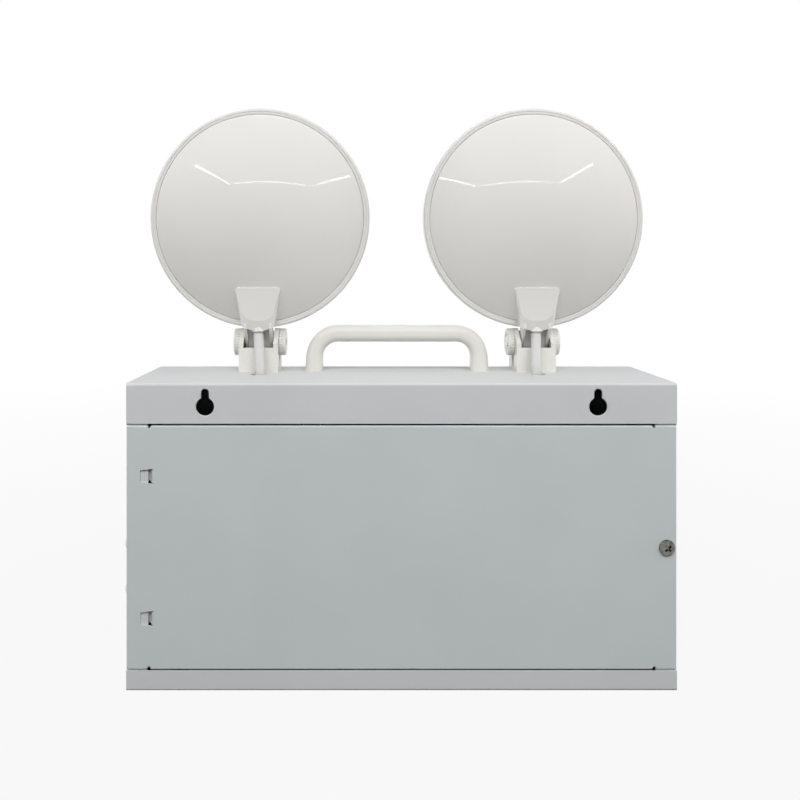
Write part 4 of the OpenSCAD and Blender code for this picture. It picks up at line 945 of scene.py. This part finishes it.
def makeKnob(name, side):
    k, bore = knob, headShell["pivotR"]
    start = pivot + Vector((side * k["start"], 0, 0))
    profile = [(bore, 0), (7.0, 0), (7.35, 0.25), (7.35, 2.35), (7.6, 2.5), (k["r"], 2.75), (k["r"], 3.2),
               (7.6, 3.55), (7.2, 3.78), (6.6, 3.8), (5.4, 3.8)]
    if side > 0:
        profile += [(4.6, 3.6), (4.25, 3.4), (4.25, 2.08), (bore, 2.08), (bore, 0)]
    else:
        profile += [(4.9, 3.7), (4.4, 3.7), (4.1, 3.8), (bore, 3.8), (bore, 0)]
    body = turned(name, profile, start, (side, 0, 0), 72)
    if side < 0:
        nearEnd, farEnd = start - Vector((1.6, 0, 0)), start - Vector((5, 0, 0))
        drill(body, nut["well"] / math.sqrt(3), nearEnd, farEnd, 6)
    rib = block("rib", (0, -k["ribHalf"], 0), (k["ribLong"], k["ribHalf"], k["ribHigh"]), 0.2)
    rib.location = (start + Vector((0 if side > 0 else -k["ribLong"], 0, k["r"] - 0.92))) * mm
    settle(rib)
    others = [turnedCopy(rib, "rib", start, (1, 0, 0), 360 * n / k["ribs"]) for n in range(1, k["ribs"])]
    return joined(name, body, rib, *others)


def makeNut(name, place, direction):
    flats, high = nut["flats"], nut["high"]
    body = drum(name, flats / math.sqrt(3), (0, 0, 0), (0, 0, high), 6)
    # both faces are chamfered round, so the corners drop away
    inner = flats * 0.475
    for z, turn in ((high, 1), (0, -1)):
        section = [(inner, z - turn * 0.001), (flats, z - turn * 0.3 * flats), (flats, z + turn),
                   (inner, z + turn), (inner, z - turn * 0.001)]
        combine(body, turned("cone", section, (0, 0, 0), (0, 0, 1), 48))
    drill(body, headShell["pivotR"], (0, 0, -1), (0, 0, high + 1), 32)
    soften(body, 0.12, 2, 40)
    return stoodAt(body, direction, place)


boltSeat, nutSeat = pivot + Vector((13.13, 0, 0)), pivot - Vector((12.65, 0, 0))
bothLamps(makeKnob("boltKnobRight", 1), knobPlastic, "{side}_bolt", "knob_plastic", "bolt_knob")
bothLamps(makeKnob("nutKnobRight", -1), knobPlastic, "{side}_nut", "knob_plastic", "nut_knob")
bothLamps(panScrew("pivotBoltRight", 27.4, boltSeat, (1, 0, 0), 20), brightSteel,
          "{side}_bolt", "zinc", "pivot_bolt")
bothLamps(makeNut("pivotNutRight", nutSeat, (-1, 0, 0)), brightSteel, "{side}_nut", "zinc", "pivot_nut")
print("knobs and bolts turned")

# head cables
headCable = {
    "r": 2.85, "start": (76.2, 1.2, 158), "end": (78.4, -10.2, 179.5),
    "route": [(54, -24, 128), (60, -24, 128), (67, -22, 129), (73, -15, 132), (75.6, -6, 138),
        (76.2, 0, 146), (76.2, 1.6, 154), (76.2, 1, 161), (76.8, -2, 167), (77.5, -5.2, 171.8),
        (78.2, -8.8, 175.6), (78.5, -10.3, 178.8), (78.5, -10.3, 184), (78.5, -10.4, 190.2),
        (78.5, -12.7, 193.6), (78.5, -15.5, 196.4), (78.5, -15.4, 201), (78.5, -13, 206),
        (78.5, -10.2, 212), (78.5, -7.4, 218), (78.5, -6.4, 222), (78.5, -6.4, 225.9)]}


def makeTube(name, route, radius):
    pickNone()
    bpy.ops.curve.primitive_bezier_curve_add(location=(0, 0, 0))
    line = bpy.context.object
    line.name = name
    spline = line.data.splines[0]
    spline.bezier_points.add(len(route) - 2)
    for point, spot in zip(spline.bezier_points, route):
        point.co = Vector(spot) * mm
        point.handle_left_type = point.handle_right_type = "AUTO"
    line.data.dimensions = "3D"
    line.data.bevel_depth = radius * mm
    line.data.bevel_resolution = 5
    line.data.resolution_u = 6
    line.data.use_fill_caps = True
    pickOnly(line)
    bpy.ops.object.convert(target="MESH")
    return bpy.context.object


for side, sign in (("right", 1), ("left", -1)):
    route, ends = [[(x * sign, y, z) for x, y, z in points]
                   for points in (headCable["route"], (headCable["start"], headCable["end"]))]
    cable = makeTube("headCable" + side.title(), route, headCable["r"])
    dressed(cable, sheathWhite, "cable_white", "head_cable_" + side, angle=60)
    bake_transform(cable)
print("cables laid")

# carrying handle
handle = {
    "postX": 46.85, "y": -17.5, "base": 156.5, "rise": 8.2, "bendR": 13.15, "wide": 9.3, "deep": 13.0,
    "edgeR": 4.0, "flare": 0.9, "boreR": 2.05, "boreCut": (155, 163.9)}


def makeHandle():
    h = handle
    cornerX, cornerY = h["wide"] / 2 - h["edgeR"], h["deep"] / 2 - h["edgeR"]
    section = []
    for sx, sy, turn in ((1, 1, 0), (-1, 1, 90), (-1, -1, 180), (1, -1, 270)):
        section += arc((sx * cornerX, sy * cornerY), h["edgeR"], turn, turn + 90, 8)
    bar = drawLine("carryHandle", [(h["postX"] + x, h["y"] + y, h["base"]) for x, y in section])
    fillLine()
    span = 2 * (h["postX"] - h["bendR"])

    def run(move, steps):
        for k in range(steps):
            extrudeBy(Vector(move) / steps)

    def bend(x):
        centre = Vector((x, h["y"], h["base"] + h["rise"])) * mm
        bpy.ops.mesh.spin(steps=18, angle=math.radians(90), center=centre, axis=(0, 1, 0))

    run((0, 0, h["rise"]), 4)
    bend(span / 2)
    run((-span, 0, 0), 12)
    bend(-span / 2)
    run((0, 0, -h["rise"]), 4)
    closeShell()
    for v in bar.data.vertices:
        # the posts spread a little towards the case
        drop = (h["base"] + h["rise"] + 4 - v.co.z / mm) / (h["rise"] + 4)
        if drop > 0 and abs(v.co.x / mm) > h["postX"]:
            v.co.x += math.copysign(h["flare"] * drop * mm, v.co.x)
    for x in (-h["postX"], h["postX"]):
        start, end = [(x, h["y"], z) for z in h["boreCut"]]
        drill(bar, h["boreR"], start, end, 24)
    return bar


done(makeHandle(), handlePlastic, "case", "handle_plastic", "carry_handle", angle=40)
print("handle bent")

# pieces that keep their own shape and get their finish here
plainPieces = {
    galvanisedSheet: ["battery_bracket", "transformer_frame"],
    brightSteel: ["handle_screws", "foot_screws", "led_screws_right", "led_screws_left", "bracket_nuts",
                  "frame_nuts", "board_screws", "side_screws"],
    batteryCase: ["battery"], tabBrass: ["battery_tabs", "board_pillars"],
    wireRed: ["battery_lead_red"], wireBlack: ["battery_lead_black"],
    boardGreen: ["charger_board"], relayBlue: ["relay"], capacitorSleeve: ["capacitor"],
    socketCream: ["lamp_sockets"], terminalGreen: ["battery_sockets"],
    laminations: ["transformer_core"], windingTape: ["transformer_coil"],
    lampGreen: ["mains_indicator"], lampRed: ["charge_indicator"], lampYellow: ["fault_indicator"],
    switchBlack: ["test_switch"], buttonRed: ["test_button"], blockWhite: ["terminal_block"],
    fittingBlack: ["supply_gland", "gland_nut", "fuse_holder", "fuse_cap"]}

for finish, names in plainPieces.items():
    for name in names:
        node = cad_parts[name]
        node.data.materials.clear()
        node.data.materials.append(finish)
print("inside dressed")

# studio, sizes in metres
studio = {
    "floorSide": 60.0, "floorGrey": 0.13, "nearShare": 0.93, "fadeFrom": 0.25, "fadeTo": 1.3,
    "worldLow": 0.12, "worldHigh": 0.31, "topPower": 0.4, "keyPower": 12.7, "fillPower": 11.0,
    "sidePower": 5.0, "stripPower": 0.9, "stripWide": 0.014, "stripDots": 26,
    "aim": (0, 0, 0.15), "stripAim": (0, 0, 0.24)}


def seenShare(holder):
    # 1 for what the camera sees, straight, mirrored or through the lenses, and 0 for what only lights
    path = addNode(holder, "ShaderNodeLightPath")
    straight, through = [addNode(holder, "ShaderNodeMath", operation="MAXIMUM") for k in range(2)]
    wire(holder, path, "Is Camera Ray", straight, 0)
    wire(holder, path, "Is Glossy Ray", straight, 1)
    wire(holder, straight, 0, through, 0)
    wire(holder, path, "Is Transmission Ray", through, 1)
    return through


def makeFloor():
    # where it is seen it glows, all but white near the object, and for the light it is a grey matt
    s = studio
    pickNone()
    bpy.ops.mesh.primitive_plane_add(size=s["floorSide"], location=(0, 0, 0))
    floor = settle(bpy.context.object)
    floor.name = "studioFloor"
    pale = bpy.data.materials.new("floor_pale")
    pale.use_nodes = True
    pale.node_tree.nodes.clear()
    place = addNode(pale, "ShaderNodeNewGeometry")
    away = addNode(pale, "ShaderNodeVectorMath", operation="LENGTH")
    fade = addNode(pale, "ShaderNodeMapRange", {
        "From Min": s["fadeFrom"], "From Max": s["fadeTo"], "To Min": s["nearShare"], "To Max": 1.0})
    share = addNode(pale, "ShaderNodeMath", operation="MULTIPLY")
    matt = addNode(pale, "ShaderNodeBsdfDiffuse", {"Color": (*[s["floorGrey"]] * 3, 1)})
    glow = addNode(pale, "ShaderNodeEmission")
    mix = addNode(pale, "ShaderNodeMixShader")
    out = addNode(pale, "ShaderNodeOutputMaterial")
    wire(pale, place, "Position", away, 0)
    wire(pale, away, "Value", fade, "Value")
    wire(pale, seenShare(pale), 0, share, 0)
    wire(pale, fade, "Result", share, 1)
    for inlet, source in enumerate((share, matt, glow)):
        wire(pale, source, 0, mix, inlet)
    wire(pale, mix, 0, out, "Surface")
    floor.data.materials.append(pale)


def makeWorld():
    # white where it is seen or mirrored, and brighter above than at the sides where it only lights
    world = bpy.data.worlds.new("studioLight")
    bpy.context.scene.world = world
    world.use_nodes = True
    back = world.node_tree.nodes["Background"]
    back.inputs["Color"].default_value = (1, 1, 1, 1)
    way = addNode(world, "ShaderNodeTexCoord")
    split = addNode(world, "ShaderNodeSeparateXYZ")
    rise = addNode(world, "ShaderNodeMapRange", {
        "To Min": studio["worldLow"], "To Max": studio["worldHigh"]})
    level = addNode(world, "ShaderNodeMix", {"B": 1.0})
    wire(world, way, "Generated", split, 0)
    wire(world, split, "Z", rise, "Value")
    wire(world, rise, "Result", level, "A")
    wire(world, seenShare(world), 0, level, "Factor")
    wire(world, level, "Result", back, "Strength")


def areaLight(name, size, power, mirrored=True):
    pickNone()
    bpy.ops.object.light_add(type="AREA")
    light = bpy.context.object
    light.name = name
    light.data.shape = "RECTANGLE"
    light.data.size, light.data.size_y = size
    light.data.energy = power
    light.visible_camera, light.visible_glossy, light.visible_transmission = False, mirrored, mirrored
    return light


def softBox(name, place, size, power, mirrored=False):
    box = areaLight(name, size, power, mirrored)
    box.location = place
    box.rotation_euler = (Vector(studio["aim"]) - Vector(place)).to_track_quat("-Z", "Y").to_euler()


def stripLight(name, start, end):
    # a long thin light of fine dots, which the domes mirror as a line
    a, b = Vector(start), Vector(end)
    middle = (a + b) / 2
    along, back = (b - a).normalized(), (middle - Vector(studio["stripAim"])).normalized()
    up = back.cross(along).normalized()
    place = Matrix((along, up, along.cross(up))).transposed().to_4x4()
    place.translation = middle
    strip = areaLight(name, ((b - a).length, studio["stripWide"]), studio["stripPower"])
    strip.matrix_world = place
    data = strip.data
    data.use_nodes = True
    where = addNode(data, "ShaderNodeNewGeometry")
    split = addNode(data, "ShaderNodeSeparateXYZ")
    wave = addNode(data, "ShaderNodeMath", {1: 0.5 / studio["stripDots"]}, operation="PINGPONG")
    dots = addNode(data, "ShaderNodeMath", {1: 0.25 / studio["stripDots"]}, operation="GREATER_THAN")
    wire(data, where, "Parametric", split, 0)
    wire(data, split, "X", wave, 0)
    wire(data, wave, 0, dots, 0)
    wire(data, dots, 0, data.node_tree.nodes["Emission"], "Strength")


def makeStudio():
    s = studio
    makeFloor()
    makeWorld()
    stripLight("stripLeft", (0.56, 0.26, 0.62), (0.76, 1.32, 0.93))
    stripLight("stripMiddle", (0.69, 1.38, 0.96), (-0.69, 1.38, 0.96))
    stripLight("stripRight", (-0.76, 1.32, 0.93), (-0.56, 0.26, 0.62))
    softBox("overhead", (0, 0.1, 1.4), (0.5, 0.35), s["topPower"], mirrored=True)
    softBox("backKey", (-0.05, 0.92, 1.0), (1.5, 0.5), s["keyPower"])
    softBox("frontFill", (0.05, -1.3, 0.2), (1.5, 0.5), s["fillPower"])
    softBox("leftFill", (1.3, 0.12, 0.4), (0.6, 0.9), s["sidePower"])
    softBox("rightFill", (-1.3, 0.12, 0.4), (0.6, 0.9), s["sidePower"])


bpy.context.scene.view_settings.view_transform = "Standard"
makeStudio()
print("studio lit")
